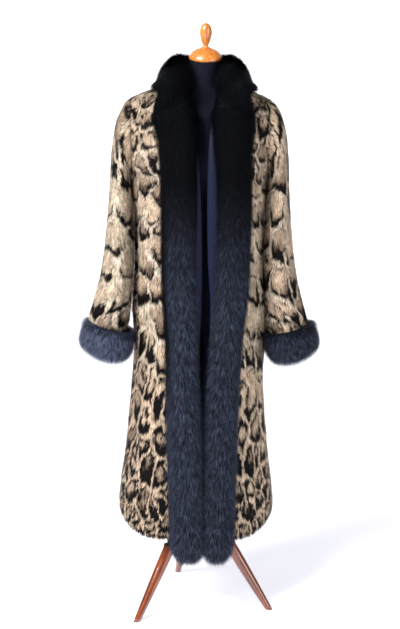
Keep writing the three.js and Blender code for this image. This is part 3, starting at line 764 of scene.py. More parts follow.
def capped_tube_faces(rings: int, around: int) -> list:
    """Faces of a stack of rings whose ends close on the two points that follow the rings' own.

    Args:
        rings: How many rings there are.
        around: Points in each ring.

    Returns:
        Lists of point numbers.
    """
    faces, low_end, top = [], rings * around, (rings - 1) * around
    for r in range(rings - 1):
        for c in range(around):
            d = (c + 1) % around
            faces.append((r * around + c, r * around + d, (r + 1) * around + d, (r + 1) * around + c))
    for c in range(around):
        d = (c + 1) % around
        faces.append((low_end, d, c))
        faces.append((low_end + 1, top + c, top + d))
    return faces


def unit(vectors: np.ndarray) -> np.ndarray:
    """The vectors at length 1."""
    return vectors / np.maximum(np.linalg.norm(vectors, axis=-1, keepdims=True), 1e-9)


@dataclass
class Hide:
    """A skin of fur: its shell, and what its pile needs to know at each point."""

    name: str
    outer: np.ndarray
    inner: np.ndarray
    closed: bool
    pelt: np.ndarray
    flow: np.ndarray
    tone: np.ndarray
    pile: np.ndarray
    material: bpy.types.Material

    def build(self) -> bpy.types.Object:
        """Makes the shell with its attributes.

        Returns:
            The shell's object.
        """
        made = add_wall(self.name, self.outer, self.inner, self.closed, self.material)
        for name, values in (("pelt", self.pelt), ("flow", unit(self.flow)), ("tone", self.tone)):
            set_attribute(made, name, np.tile(values.reshape(-1, 3), (2, 1)))
        set_attribute(made, "pile", np.concatenate([self.pile.ravel(), np.zeros(self.pile.size)]))
        return made


# ---- Fur


@dataclass(frozen=True)
class Fur:
    """How a pile stands: all lengths in millimetres, density in tufts per square metre."""

    density: float
    length: float
    width: float
    lift: float  # off the skin, against its lie along it
    spread: float  # how far each tuft turns by itself
    stray: float  # how far it turns with its lock
    lock_mm: float
    curl: float  # bend towards the skin at the tip, as a share of the length
    soft: float = 0.35  # how far the shading strays from the skin's

    def tuft(self) -> bpy.types.Object:
        """Makes one tuft: a flat blade of unit length and width that tapers and bends down to its tip.

        Returns:
            The tuft's object, which the tree copies.
        """
        mesh = bpy.data.meshes.new("tuft")
        mesh.from_pydata([(-0.5, 0.0, 0.0), (0.5, 0.0, 0.0), (0.0, -self.curl, 1.0)], [], [(1, 0, 2)])
        made = add_object("tuft", mesh)
        set_attribute(made, "along", np.array([0.0, 0.0, 1.0]))
        return made

    def tree(self) -> bpy.types.NodeTree:
        """Builds the tree that stands tufts on a hide.

        Returns:
            The tree, whose inputs are the numbers above.
        """
        tree = bpy.data.node_groups.new("pile_on_hide", "GeometryNodeTree")
        sockets = tree.interface
        sockets.new_socket("Geometry", in_out="OUTPUT", socket_type="NodeSocketGeometry")
        numbers = ("Density", "Length", "Width", "Lift", "Spread", "Stray", "Lock scale")
        kinds = {"Geometry": "Geometry", "Tuft": "Object", "Material": "Material", "Seed": "Int",
                 **dict.fromkeys(numbers, "Float")}
        for name, kind in kinds.items():
            sockets.new_socket(name, in_out="INPUT", socket_type="NodeSocket" + kind)
        given = node(tree, "NodeGroupInput").outputs
        pile = node(tree, "GeometryNodeInputNamedAttribute", {"Name": "pile"}, data_type="FLOAT")
        flow = node(tree, "GeometryNodeInputNamedAttribute", {"Name": "flow"}, data_type="FLOAT_VECTOR")
        density = node(tree, "ShaderNodeMath", {0: pile, 1: given["Density"]}, operation="MULTIPLY")
        roots = node(tree, "GeometryNodeDistributePointsOnFaces",
                     {"Mesh": given["Geometry"], "Density": density, "Seed": given["Seed"]})
        normal = roots.outputs["Normal"]
        place = node(tree, "GeometryNodeInputPosition")
        # each stands the way that its hide flows, lifted, and turned with its lock and a little by itself
        locks = node(tree, "ShaderNodeTexNoise", {"Vector": place, "Scale": given["Lock scale"], "Detail": 1.5})
        lock = node(tree, "ShaderNodeVectorMath", {0: locks.outputs["Color"], 1: (0.5, 0.5, 0.5)},
                    operation="SUBTRACT")
        lock = node(tree, "ShaderNodeVectorMath", {0: lock, "Scale": given["Stray"]}, operation="SCALE")
        loose = node(tree, "FunctionNodeRandomValue", {0: (-1, -1, -1), 1: (1, 1, 1), "Seed": given["Seed"]},
                     data_type="FLOAT_VECTOR")
        loose = node(tree, "ShaderNodeVectorMath", {0: loose, "Scale": given["Spread"]}, operation="SCALE")
        lifted = node(tree, "ShaderNodeVectorMath", {0: normal, "Scale": given["Lift"]}, operation="SCALE")
        way = flow
        for part in (lifted, lock, loose):
            way = node(tree, "ShaderNodeVectorMath", {0: way, 1: part}, operation="ADD")
        turn = node(tree, "FunctionNodeAxesToRotation", {0: way, 1: normal}, primary_axis="Z", secondary_axis="Y")
        second = node(tree, "ShaderNodeMath", {0: given["Seed"], 1: 7.0}, operation="ADD")
        # tufts differ in length and in shade
        grown = node(tree, "FunctionNodeRandomValue", {2: 0.62, 3: 1.2, "Seed": second},
                     data_type="FLOAT").outputs[1]
        long = node(tree, "ShaderNodeMath", {0: grown, 1: given["Length"]}, operation="MULTIPLY")
        size = node(tree, "ShaderNodeCombineXYZ", {0: given["Width"], 1: long, 2: long})
        third = node(tree, "ShaderNodeMath", {0: given["Seed"], 1: 13.0}, operation="ADD")
        shade = node(tree, "FunctionNodeRandomValue", {2: 0.0, 3: 1.0, "Seed": third}, data_type="FLOAT").outputs[1]
        kept = node(tree, "GeometryNodeStoreNamedAttribute",
                    {"Geometry": roots.outputs["Points"], "Name": "shade", "Value": shade}, data_type="FLOAT")
        kept = node(tree, "GeometryNodeStoreNamedAttribute",
                    {"Geometry": kept, "Name": "skin", "Value": normal}, data_type="FLOAT_VECTOR")
        shape = node(tree, "GeometryNodeObjectInfo", {"Object": given["Tuft"]})
        placed = node(tree, "GeometryNodeInstanceOnPoints",
                      {"Points": kept, "Instance": shape.outputs["Geometry"], "Rotation": turn, "Scale": size})
        real = node(tree, "GeometryNodeRealizeInstances", {0: placed})
        dressed = node(tree, "GeometryNodeSetMaterial", {"Geometry": real, "Material": given["Material"]})
        node(tree, "NodeGroupOutput", {0: dressed})
        return tree

    def grow(self, hide: bpy.types.Object, name: str, seed: int, share: float = 1.0) -> bpy.types.Object:
        """Stands the pile on a hide.

        Args:
            hide: The hide's object.
            name: The pile's name.
            seed: The random seed.
            share: Density against the fur's own.

        Returns:
            The pile as a plain mesh object.
        """
        tuft, tree = self.tuft(), self.tree()
        values = {
            "Tuft": tuft, "Material": hide.data.materials[0], "Density": self.density * share,
            "Length": self.length * MM, "Width": self.width * MM, "Lift": self.lift, "Spread": self.spread,
            "Stray": self.stray, "Lock scale": 1 / (self.lock_mm * MM), "Seed": seed,
        }
        modifier = hide.modifiers.new("pile", "NODES")
        modifier.node_group = tree
        for item in tree.interface.items_tree:
            if item.in_out == "INPUT" and item.name in values:
                modifier[item.identifier] = values[item.name]
        seen = bpy.context.evaluated_depsgraph_get()
        mesh = bpy.data.meshes.new_from_object(hide.evaluated_get(seen), depsgraph=seen)
        hide.modifiers.remove(modifier)
        bpy.data.objects.remove(tuft)
        mesh.name = name
        made = add_object(name, mesh)
        self.soften(mesh)
        return made

    def soften(self, mesh: bpy.types.Mesh) -> None:
        """Shades the tufts mostly as the hide under them, so that the pile looks soft.

        Args:
            mesh: The pile's mesh.
        """
        carried = []
        for name, field_name, width in (("skin", "vector", 3), ("flow", "vector", 3), ("shade", "value", 1)):
            flat = np.zeros(len(mesh.vertices) * width, np.float32)
            mesh.attributes[name].data.foreach_get(field_name, flat)
            carried.append(flat.reshape(-1, width))
        skin, flow, shade = carried
        sideways = np.cross(skin, flow)
        # the decimals of large multiples of a tuft's shade serve as two more chance numbers
        turn = (shade * 997.0 % 1.0 - 0.5) * 2 * self.soft
        tip = (shade * 613.0 % 1.0 - 0.3) * 2 * self.soft
        normals = unit(skin + sideways * turn + flow * tip)
        mesh.normals_split_custom_set_from_vertices(normals.tolist())
        for name in ("skin", "flow", "pile"):
            mesh.attributes.remove(mesh.attributes[name])


SHORT = Fur(density=345000, length=11.0, width=1.7, lift=0.45, spread=0.24, stray=0.9, lock_mm=26, curl=0.1)
LONG = Fur(density=640000, length=24.0, width=0.72, lift=0.38, spread=0.24, stray=0.28, lock_mm=5,
           curl=0.12, soft=0.7)
PUFF = Fur(density=850000, length=20.0, width=0.7, lift=0.45, spread=0.2, stray=0.35, lock_mm=9,
           curl=0.12, soft=0.7)


# ---- The coat


@dataclass(frozen=True)
class Crease:
    """A soft ridge pressed into hanging cloth, or a trough where its height is negative."""

    angle: float  # middle, in degrees round the piece
    place: float  # middle, in the piece's own length
    half_angle: float
    half_place: float
    height: float
    lean: float = 0.0  # degrees per unit of length

    def at(self, degrees: np.ndarray, place: np.ndarray) -> np.ndarray:
        """The ridge's height.

        Args:
            degrees: Angles round the piece.
            place: Places along it.

        Returns:
            Heights in millimetres.
        """
        along = (place - self.place) / self.half_place
        turned = (degrees - self.angle - self.lean * (place - self.place) + 540) % 360 - 180
        return self.height * np.exp(-((turned / self.half_angle) ** 2) - along**2)


# Each crease: angle, place, half-angle, half-place, height, lean
BODY_CREASES = [Crease(*row) for row in (
    (-140, 500, 5, 260, 3.5, 0.012), (-122, 760, 4, 200, 2.5, -0.02), (-112, 400, 4, 150, 3.0),
    (-160, 820, 5, 190, 3.0, 0.02), (-48, 470, 5, 240, 3.5, -0.015), (-36, 820, 4, 210, 3.0, 0.02),
    (-60, 620, 4, 160, 2.5), (-148, 1110, 7, 70, 2.5, 0.03), (-30, 1090, 7, 75, 2.5, -0.03),
    (45, 520, 6, 280, 4.0, 0.01), (78, 600, 5, 320, 4.0, -0.008), (112, 470, 6, 260, 4.5),
    (142, 560, 5, 240, 3.5, 0.012), (0, 1060, 24, 150, 6.0), (180, 1060, 24, 150, 6.0), (-166, 980, 7, 150, -14.0),
    (-151, 940, 9, 170, 4.0), (0, 845, 24, 110, 27.0), (0, 770, 20, 60, 9.0), (180, 850, 24, 100, 15.5),
    (0, 1175, 24, 45, 7.0), (180, 1175, 24, 45, 7.0), (20, 700, 4, 230, 3.0, 0.015), (90, 1180, 16, 60, 2.5),
    (60, 1240, 8, 70, 2.5, 0.06), (122, 1230, 8, 70, 2.5, -0.06), (172, 640, 4, 220, 3.0),
)]


def body_relief(degrees: np.ndarray, z: np.ndarray) -> np.ndarray:
    """Height of the body's creases, which also lie in its lining."""
    return sum(crease.at(degrees, z) for crease in BODY_CREASES)


ROWS_Z = np.unique(
    np.concatenate([np.linspace(HEM_Z, 1190, 62), np.linspace(1190, 1300, 14), np.linspace(1300, 1406, 12),
                    np.linspace(1406, NECKLINE_Z, 14)])
)


@dataclass(frozen=True)
class BodyGrid:
    """Grids of points on one panel of the coat's body: the back where there is no side."""

    side: Optional[Side]
    columns: int
    edge_x: Callable[[Side, np.ndarray], np.ndarray] = panel_edge_x

    def ends(self, depth: np.ndarray) -> tuple[np.ndarray, np.ndarray, np.ndarray]:
        """End angles of each row.

        Args:
            depth: Depth under the coat's outer face.

        Returns:
            The first and the last angle, and which rows end on the armhole.
        """
        edge = armhole_angle(ROWS_Z, depth, self.side is not None)
        if self.side is None:
            return edge, np.pi - edge, edge > 0
        opening = front_angle(self.edge_x(self.side, ROWS_Z), ROWS_Z, depth)
        if self.side is Side.LEFT:
            return edge - np.pi, opening, edge > 0
        return opening, -edge, edge > 0

    def at(self, depth: float) -> tuple[np.ndarray, np.ndarray, np.ndarray]:
        """The grid at a depth.

        Args:
            depth: Depth under the coat's outer face.

        Returns:
            The points, their angles and their heights on the outer face.
        """
        first, last, cut = self.ends(np.full_like(ROWS_Z, depth))
        share = np.linspace(0, 1, self.columns + 1)
        angle = first[:, None] + (last - first)[:, None] * share
        z = np.repeat(ROWS_Z[:, None], self.columns + 1, axis=1)
        points = body_point(angle, z, depth - body_relief(np.degrees(angle), z))
        for column, sewn in ((0, self.side is not Side.RIGHT), (-1, self.side is not Side.LEFT)):
            if sewn:
                edge = points[:, column]
                edge[cut, 0] -= np.sign(edge[cut, 0]) * SEAM / 2
                edge[~cut, 1] += SEAM / 2 if self.side is None else -SEAM / 2
        return points, angle, z


def down_the(points: np.ndarray) -> np.ndarray:
    """Direction from each row of a grid towards the row before it."""
    return -np.gradient(points, axis=0)


# Size of the clouds on the body, in millimetres, from the hem up
CLOUD = Profile([262, 360, 520, 760, 1000, 1200, 1464], wide=[36, 40, 48, 60, 74, 62, 46],
                tall=[44, 58, 84, 92, 68, 60, 46])
CLOUD_Z = np.linspace(HEM_Z, NECKLINE_Z, 400)
CLOUD_ROWS = np.concatenate([[0], np.cumsum(np.diff(CLOUD_Z) / CLOUD.at(CLOUD_Z[1:])["tall"])])


@dataclass(frozen=True)
class BodyPelt:
    """One hide of the body, its leather side inwards, with its pile."""

    side: Optional[Side]
    columns: int
    flat: tuple[float, float]
    area: float
    offset: tuple[float, float]
    seed: int
    seam_mm: float = 20.0  # width of the strip beside the band that turns in to its seam
    radius_mm: float = 185.0
    sunk: float = 0.8  # how far the pelt's face goes in at that seam, as a share of its thickness
    thinned: float = 0.9  # and the share of its pile that is lost there
    back_share: float = 0.82  # density of the back's pile
    back_sides: float = 0.25  # and the share that the back loses towards its side seams

    @property
    def node(self) -> str:
        """The CAD node that this hide stands for."""
        return "back_panel" if self.side is None else "front_panel_" + self.side.word

    def build(self, finish: bpy.types.Material) -> tuple[bpy.types.Object, bpy.types.Object]:
        """Makes the hide and its pile.

        Args:
            finish: The pile's material.

        Returns:
            The hide and the pile.
        """
        grid = BodyGrid(self.side, self.columns, tucked_edge_x)
        outer, angle, z = grid.at(HIDE_DEPTH)
        inner = grid.at(PELT)[0]
        pile = 1 - self.back_sides * smoothstep(np.degrees(np.abs(angle)), 60, 120) * (self.side is None)
        if self.side is not None:
            # beside the band the pelt turns in to its seam, and the pile lies thin, showing its darkened hide as
            # painted shade
            opening = angle[:, -1:] if self.side is Side.LEFT else angle[:, :1]
            seam = 1 - smoothstep(np.abs(angle - opening) * self.radius_mm, 2, self.seam_mm)
            outer = outer + (inner - outer) * (self.sunk * seam)[..., None]
            pile = pile - self.thinned * seam
        size = CLOUD.at(z)
        middle = math.pi / 2 if self.side is None else self.side.value * 0.9 - math.pi / 2
        across = (angle - middle) * self.radius_mm / size["wide"]
        up = np.interp(z, CLOUD_Z, CLOUD_ROWS)
        pelt = np.stack([across + self.offset[0], up + self.offset[1], np.zeros_like(z)], axis=-1)
        flow = down_the(outer)
        shell = Hide("hide_" + self.node, outer, inner, False, pelt, flow, self.tone(angle, z), pile, finish).build()
        share = self.back_share if self.side is None else 1.0
        return shell, SHORT.grow(shell, "pile_" + self.node, self.seed, share)

    def tone(self, angle: np.ndarray, z: np.ndarray) -> np.ndarray:
        """Paleness, strength of the rims and share of small spots.

        Args:
            angle: Angles round the body.
            z: Heights.

        Returns:
            The three, for each point.
        """
        degrees = np.degrees(angle)
        pale = np.zeros_like(z)
        if self.side is Side.RIGHT:
            # cream beside the band at the waist, and a little paler all the way down
            pale = 0.6 * np.exp(-(((degrees + 30) / 24) ** 2) - ((z - 960) / 210) ** 4)
            pale = pale + 0.18 * (1 - smoothstep(z, 650, 950))
        if self.side is Side.LEFT:
            # a small pale patch at the waist
            pale = 0.35 * np.exp(-(((degrees + 152) / 12) ** 2) - ((z - 1040) / 90) ** 2)
        # rims are closed and strong on the skirt and shoulders, and painted shade closes them on the neck under the
        # collar
        rim = 0.42 + 0.4 * smoothstep(z, 1180, 1300) + 0.9 * (1 - smoothstep(z, 520, 860))
        rim = rim + 6.0 * smoothstep(z, 1442, 1453)
        if self.side is Side.LEFT:
            # painted shade beside the sleeve: closed dark rims where the sleeve shades the body
            rim = rim + 1.6 * np.exp(-(((degrees + 165) / 10) ** 2) - ((z - 960) / 130) ** 2)
        spots = 0.08 + 0.4 * (1 - smoothstep(z, 280, 500)) + 0.2 * smoothstep(z, 1250, 1350)
        return np.stack([pale, rim, spots], axis=-1)


# Sleeves: underarm and shoulder side of each ring from the armhole down, with the height of the gathers
SLEEVE = Profile(
    list(range(13)),
    under_x=[180.15, 183, 183.5, 182.5, 181.8, 180.5, 178.5, 177.5, 178.5, 184, 196, 200, 203],
    under_z=[1214, 1210, 1206, 1199, 1187, 1160, 1090, 1015, 945, 885, 840, 806, 770],
    over_x=[187.15, 205, 225, 238, 245, 248, 253, 260, 270, 282, 292, 299, 303],
    over_z=[1424, 1407, 1366, 1304, 1236, 1172, 1095, 1020, 952, 897, 857, 826, 790],
    depth=[65, 68, 72, 75, 77, 77, 76, 74, 72, 71, 71, 71, 70],
    mid_y=[0, -1, -2, -3, -6, -10, -17, -24, -31, -36, -40, -43, -46],
    turn=[0, 0, 0, 0, 1, 2, 3, 5, 7, 9, 11, 12, 13],
    gather=[0, 0, 0, 0, 0, 0, 0, 0.2, 0.8, 2.0, 3.4, 4.2, 2.6],
)
SLEEVE_CREASES = [Crease(*row) for row in (
    (-60, 5.2, 20, 0.45, 3.0, 14), (-120, 5.8, 22, 0.5, 3.0, -12), (-30, 6.6, 24, 0.4, 2.5, 20),
    (-95, 7.3, 26, 0.35, 2.5, -18), (70, 5.6, 24, 0.5, 3.0, 12), (110, 6.8, 26, 0.45, 3.0, -16),
    (-75, 8.4, 12, 0.9, 2.5, 4), (40, 8.1, 14, 0.9, 2.5, -5), (-20, 3.6, 18, 0.6, -2.0, 10),
    (-130, 3.4, 16, 0.7, 2.0, -12), (180, 6.8, 38, 2.6, 6.0), (180, 10.3, 38, 1.15, 13.0),
)]


@dataclass(frozen=True)
class SleevePelt:
    """A sleeve with its pile: set into the armhole, and gathered into the cuff."""

    side: Side
    cloud_mm: tuple[float, float]
    rim: float
    pale: float
    offset: tuple[float, float]
    seed: int
    flat: tuple[float, float] = (0.40, 0.62)
    area: float = 0.215
    radius_mm: float = 58.0
    gathers: int = 13
    around: int = 78
    rows: int = 73

    @property
    def node(self) -> str:
        """The CAD node that this sleeve stands for."""
        return "sleeve_" + self.side.word

    def grid(self, depth: float) -> tuple[np.ndarray, np.ndarray, np.ndarray]:
        """Rings of the sleeve.

        Args:
            depth: Depth under the sleeve's outer face.

        Returns:
            The points, their angles and their places along the sleeve.
        """
        place = np.linspace(0, 12, self.rows)[:, None]
        angle = np.pi + round_ring(self.around)[None, :]
        row = SLEEVE.at(place)
        sign = self.side.value
        under = np.stack([sign * row["under_x"], row["mid_y"], row["under_z"]], axis=-1)
        over = np.stack([sign * row["over_x"], row["mid_y"], row["over_z"]], axis=-1)
        long = np.linalg.norm(over - under, axis=-1)
        across = unit(over - under)
        uneven = 0.55 * np.sin(3 * angle + self.seed) + 0.3 * np.sin(5 * angle)
        wave = row["gather"] * (np.cos(self.gathers * angle + uneven) * (1 + 0.3 * np.sin(2 * angle)) - 0.1)
        relief = wave + sum(c.at(np.degrees(angle), place) for c in SLEEVE_CREASES)
        u = (long / 2 - depth + relief) * np.cos(angle)
        v = (row["depth"] - depth + relief) * np.sin(angle)
        turn = np.radians(row["turn"])
        points = (under + over) / 2 + across * (u * np.cos(turn) + v * np.sin(turn))[..., None]
        points[..., 1] += v * np.cos(turn) - u * np.sin(turn)
        return points, angle, place

    def build(self, finish: bpy.types.Material) -> tuple[bpy.types.Object, bpy.types.Object]:
        """Makes the sleeve and its pile.

        Args:
            finish: The pile's material.

        Returns:
            The sleeve and the pile.
        """
        outer, angle, place = self.grid(HIDE_DEPTH)
        outer, inner = outer[::-1], self.grid(PELT)[0][::-1]
        place = np.broadcast_to(place[::-1], outer.shape[:2])
        angle = np.broadcast_to(angle, outer.shape[:2])
        rise = np.linalg.norm(np.gradient(outer.mean(axis=1), axis=0), axis=-1)
        up = np.cumsum(rise)[:, None] / self.cloud_mm[1]
        streaked = smoothstep(place, 8.6, 11.5)
        around = (angle - 2 * np.pi) * self.radius_mm * self.side.value / self.cloud_mm[0] * (1 + 1.3 * streaked)
        pelt = np.stack([around + self.offset[0], up + 0 * angle + self.offset[1], 0 * angle], axis=-1)
        top = 1 - smoothstep(place, 1.0, 4.5)
        rim = self.rim + 0.45 * top + 0.5 * streaked
        pale = self.pale * (1 - top) * (1 - streaked)
        tone = np.stack([pale, rim, 0.06 + 0.2 * top + 0.3 * streaked], axis=-1)
        under = np.abs((np.degrees(angle) % 360) - 180)
        pile = 0.6 + 0.4 * smoothstep(under, 15, 60)
        shell = Hide("hide_" + self.node, outer, inner, True, pelt, down_the(outer), tone, pile, finish).build()
        return shell, SHORT.grow(shell, "pile_" + self.node, self.seed)


# Collar, left half: middle of its section round the neck, with the fall of its outer edge and the way it faces
COLLAR = [
    (-81, -82, 1437, 9, 54, 38, 5, 18, -126), (-89, -58, 1466, 10, 53, 34, 5, 30, -144),
    (-91, -24, 1486, 10, 48, 25, 5, 45, -165), (-88, 26, 1492, 8, 50, 26, 4, 48, 163),
    (-66, 75, 1481, 5, 55, 26, 8, 62, 130), (0, 99, 1472, 4, 58, 26, 13, 72, 90),
]
BAND_STATIONS_Z = [190, 194, 200, 208, 220, 235, 250, 320, 415, 520, 635, 720, 800, 905, 1000, 1080, 1155, 1240, 1320,
                   1385]
BAND_UNDER = 4.0
BAND_SLIM = 0.06  # least share of its section that is left at a band's rounded end, squared
BAND_FALL = 14.0  # the hide ends this far above its hair's tips
FULL_HALF = 40.0  # sections of less half-width than this are taken in by less
SEWN_EDGE = 1.5  # how far the flat base of a section is taken in on each side
ACROSS_POWER, ABOVE_POWER, UNDER_POWER = 0.8, 0.9, 0.45  # how square a section is: 1 is round

# How far the trim's hide is taken in at the edges, and moved to the right, by station
BAND_TUCK_LEFT = Profile([0, 9, 11, 13, 16, 18, 19], inner=[2.5, 2.5, 7, 10, 6, 3, 2.5], outer=[6, 6, 7, 7, 7, 3, -2],
                         sway=[9, 9, 7, 7, 7, 2, 0], face=[10, 10, 10, 10, 10, 10, 10])
BAND_TUCK_RIGHT = Profile([0, 16, 18, 19], inner=[2.5, 2.5, 2.5, 2.5], outer=[7, 7, 3, -2], sway=[1, 1, 0, 0],
                          face=[10, 10, 10, 10])
COLLAR_TUCK = Profile([19, 19.5, 20.2, 21.4, 22.4, 25], inner=[2.5, 8, 14, 14, 14, 14],
                      outer=[-2, 0, 9, 24, 17, 12], sway=[0, 0, 0, 0, 0, 0], face=[10, 10, 12, 12, 4, 8])


@dataclass
class Station:
    """A section of the trim: its middle, the way across it, and its sizes."""

    middle: np.ndarray
    across: np.ndarray
    half: float
    proud: float
    under: float


class TrimPath:
    """One half of the long-haired trim: a front band from its lower end up, then the collar to the back's middle."""

    def __init__(self, side: Side) -> None:
        """Places the stations.

        Args:
            side: The half of the coat.
        """
        self.side = side
        self.stations = [self.band_station(z) for z in BAND_STATIONS_Z]
        self.band_last = len(self.stations) - 1
        self.stations += [self.collar_station(*row) for row in COLLAR]
        self.last = len(self.stations) - 1
        middles = np.array([s.middle for s in self.stations])
        ends = [2 * middles[0] - middles[1], 2 * middles[-1] - middles[-2]]
        self.knots = np.vstack([ends[:1], middles, ends[1:]])

    def band_station(self, z: float) -> Station:
        """A section of the front band.

        Args:
            z: Its height.

        Returns:
            The section.
        """
        band = BAND.read(z)
        ring = np.array(max(z, HEM_Z))
        angle = front_angle(band[self.side.word], ring, 0)
        middle = body_point(angle, ring, np.array(0.0))
        middle[2] = z
        step = self.side.value * 0.05
        across = body_point(angle + step, ring, np.array(0.0)) - body_point(angle - step, ring, np.array(0.0))
        across[2] = 0
        along = min(max((z - BAND_LOW_Z - BAND_FALL) / BAND_END, 0), 1)
        rounding = math.sqrt(max(BAND_SLIM, 1 - (1 - along) ** 2))
        sizes = [band["half"] * rounding, band["proud"] * rounding, BAND_UNDER * rounding]
        return Station(middle, unit(across), *sizes)

    def collar_station(self, x: float, y: float, z: float, shift: float, half: float, proud: float, under: float,
                       lean: float, turned: float) -> Station:
        """A section of the collar.

        Args:
            x: Middle, on the left half.
            y: Middle.
            z: Middle.
            shift: How far both halves are moved to the right.
            half: Half-width of the section.
            proud: Its height over the middle.
            under: Its depth under the middle.
            lean: Fall of the outer edge, in degrees.
            turned: The way it faces, in degrees.

        Returns:
            The section.
        """
        fall, way = math.radians(lean), math.radians(turned)
        across = np.array([math.cos(fall) * math.cos(way), math.cos(fall) * math.sin(way), -math.sin(fall)])
        if self.side is Side.RIGHT:
            across[0] *= -1
        return Station(np.array([shift - self.side.value * x, y, z], float), across, half, proud, under)

    def point(self, at: float) -> np.ndarray:
        """A point of the centripetal Catmull-Rom line through the stations' middles."""
        i = min(int(at), self.last - 1)
        s = at - i
        p0, p1, p2, p3 = self.knots[i : i + 4]
        d0, d1, d2 = (math.sqrt(np.linalg.norm(b - a)) for a, b in ((p0, p1), (p1, p2), (p2, p3)))
        m1 = ((p1 - p0) / d0 - (p2 - p0) / (d0 + d1) + (p2 - p1) / d1) * d1
        m2 = ((p2 - p1) / d1 - (p3 - p1) / (d1 + d2) + (p3 - p2) / d2) * d1
        return hermite(p1, p2, m1, m2, s)

    def rings(self, stops: np.ndarray, around: int, tuck: Profile, leather: float) -> dict[str, np.ndarray]:
        """Sections of the trim, each square to the path. The flat base keeps its full width.

        Args:
            stops: Where they are, counted in stations.
            around: Points in each section.
            tuck: How far the section's inner and outer edges and its face are taken in, and how far it leans to the
                right.
            leather: How far all of them are taken in besides.

        Returns:
            The points, with the way across, the way along and the section's angle at each.
        """
        angle = round_ring(around)
        points, across_all, along_all = [], [], []
        for at in stops:
            i = min(int(at), self.last - 1)
            share = at - i
            a, b = self.stations[i], self.stations[i + 1]
            tangent = unit(self.point(min(at + 0.01, self.last)) - self.point(max(at - 0.01, 0)))
            across = a.across * (1 - share) + b.across * share
            across = unit(across - tangent * (across @ tangent))
            out = np.cross(tangent, across) * -self.side.value
            half, proud, under = (
                getattr(a, name) * (1 - share) + getattr(b, name) * share for name in ("half", "proud", "under")
            )
            small = min(1.0, half / FULL_HALF)
            above = smoothstep(np.sin(angle), -0.5, 0.0)
            taken = tuck.at(np.array(at))
            face = taken["face"] + leather
            inset = np.where(np.cos(angle) < 0, taken["inner"], taken["outer"]) + leather
            wide = half - SEWN_EDGE - (inset - SEWN_EDGE) * small * above
            wide = wide * signed_power(np.cos(angle), ACROSS_POWER)
            proud, under = proud - face * small, max(under - face * 0.1, 0.6)
            lift = np.where(np.sin(angle) > 0, proud * signed_power(np.sin(angle), ABOVE_POWER),
                            under * signed_power(np.sin(angle), UNDER_POWER))
            middle = self.point(at)
            wide = wide + above * taken["sway"] * self.side.value
            points.append(middle + across * wide[:, None] + out * lift[:, None])
            across_all.append(np.broadcast_to(across, (around, 3)))
            along_all.append(np.broadcast_to(tangent, (around, 3)))
        return {"points": np.array(points), "across": np.array(across_all), "along": np.array(along_all),
                "angle": np.broadcast_to(angle, (len(points), around))}


@dataclass(frozen=True)
class LongTrim:
    """A tube of long-haired hide: a front band, or the whole collar."""

    node: str
    seed: int
    flat: tuple[float, float]
    tips: float  # painted light on the hair's tips at the lower end
    tuck: Profile
    painted_outer_shade: float = 0.0  # how much painted shade darkens them on the outer side
    underside: float = 0.0  # density of the pile underneath
    around: int = 30
    leather: float = 2.0
    radius_mm: float = 32.0

    def build(self, paths: list[TrimPath], stops: np.ndarray, finish: bpy.types.Material
              ) -> tuple[bpy.types.Object, bpy.types.Object]:
        """Makes the trim and its pile.

        Args:
            paths: The halves that it runs along: one for a band, left and right for the collar.
            stops: Where its sections are, counted in stations.
            finish: The pile's material.

        Returns:
            The trim and its pile.
        """
        halves = [path.rings(stops, self.around, self.tuck, 0.0) for path in paths]
        inside = [path.rings(stops, self.around, self.tuck, self.leather)["points"] for path in paths]
        if len(halves) > 1:
            # the collar: up the left half to the back's middle, then down the right half
            grids = {key: np.concatenate([halves[0][key], halves[1][key][-2::-1]]) for key in halves[0]}
            inner = np.concatenate([inside[0], inside[1][-2::-1]])
            down = -grids["along"]
            ends = np.concatenate([stops, stops[-2::-1]]) - stops[0]
            low = (1 - smoothstep(ends, 0.2, 1.6))[:, None, None]
            outward = np.cos(grids["angle"])[..., None]
            fan = grids["across"] * (outward * 0.9 + 0.2)
            fall = np.array([0.0, 0.0, -1.4]) * np.maximum(outward, 0)
            flow = fan * (1 - 0.7 * low) + down * (0.25 + 0.9 * low) + fall
        else:
            grids, inner = halves[0], inside[0]
            lean = np.cos(grids["angle"])[..., None]
            spread = 0.25 + 0.8 * smoothstep(grids["points"][..., 2:], 1230, 1350)
            flow = -grids["along"] + grids["across"] * (spread * lean)
        points = grids["points"]
        steps = np.linalg.norm(np.gradient(points.mean(axis=1), axis=0), axis=-1)
        along = np.cumsum(steps)[:, None] * MM * np.ones_like(grids["angle"])
        section = grids["angle"] * self.radius_mm * MM
        height = points[..., 2]
        # painted light on the tips dies away from the waist up, and painted shade darkens the outer side above the
        # knee
        tip = self.tips * (1 - smoothstep(height, 860, 1230))
        shadow = smoothstep(np.cos(grids["angle"]), 0.4, 0.85) * smoothstep(height, 560, 760)
        tip = tip * (1 - self.painted_outer_shade * shadow)
        tone = np.stack([tip, tip, tip], axis=-1)
        pile = np.maximum(smoothstep(np.sin(grids["angle"]), -0.98, -0.2), self.underside)
        pelt = np.stack([section, along, section * 0], axis=-1)
        shell = Hide("hide_" + self.node, points, inner, True, pelt, flow, tone, pile, finish).build()
        return shell, LONG.grow(shell, "pile_" + self.node, self.seed)


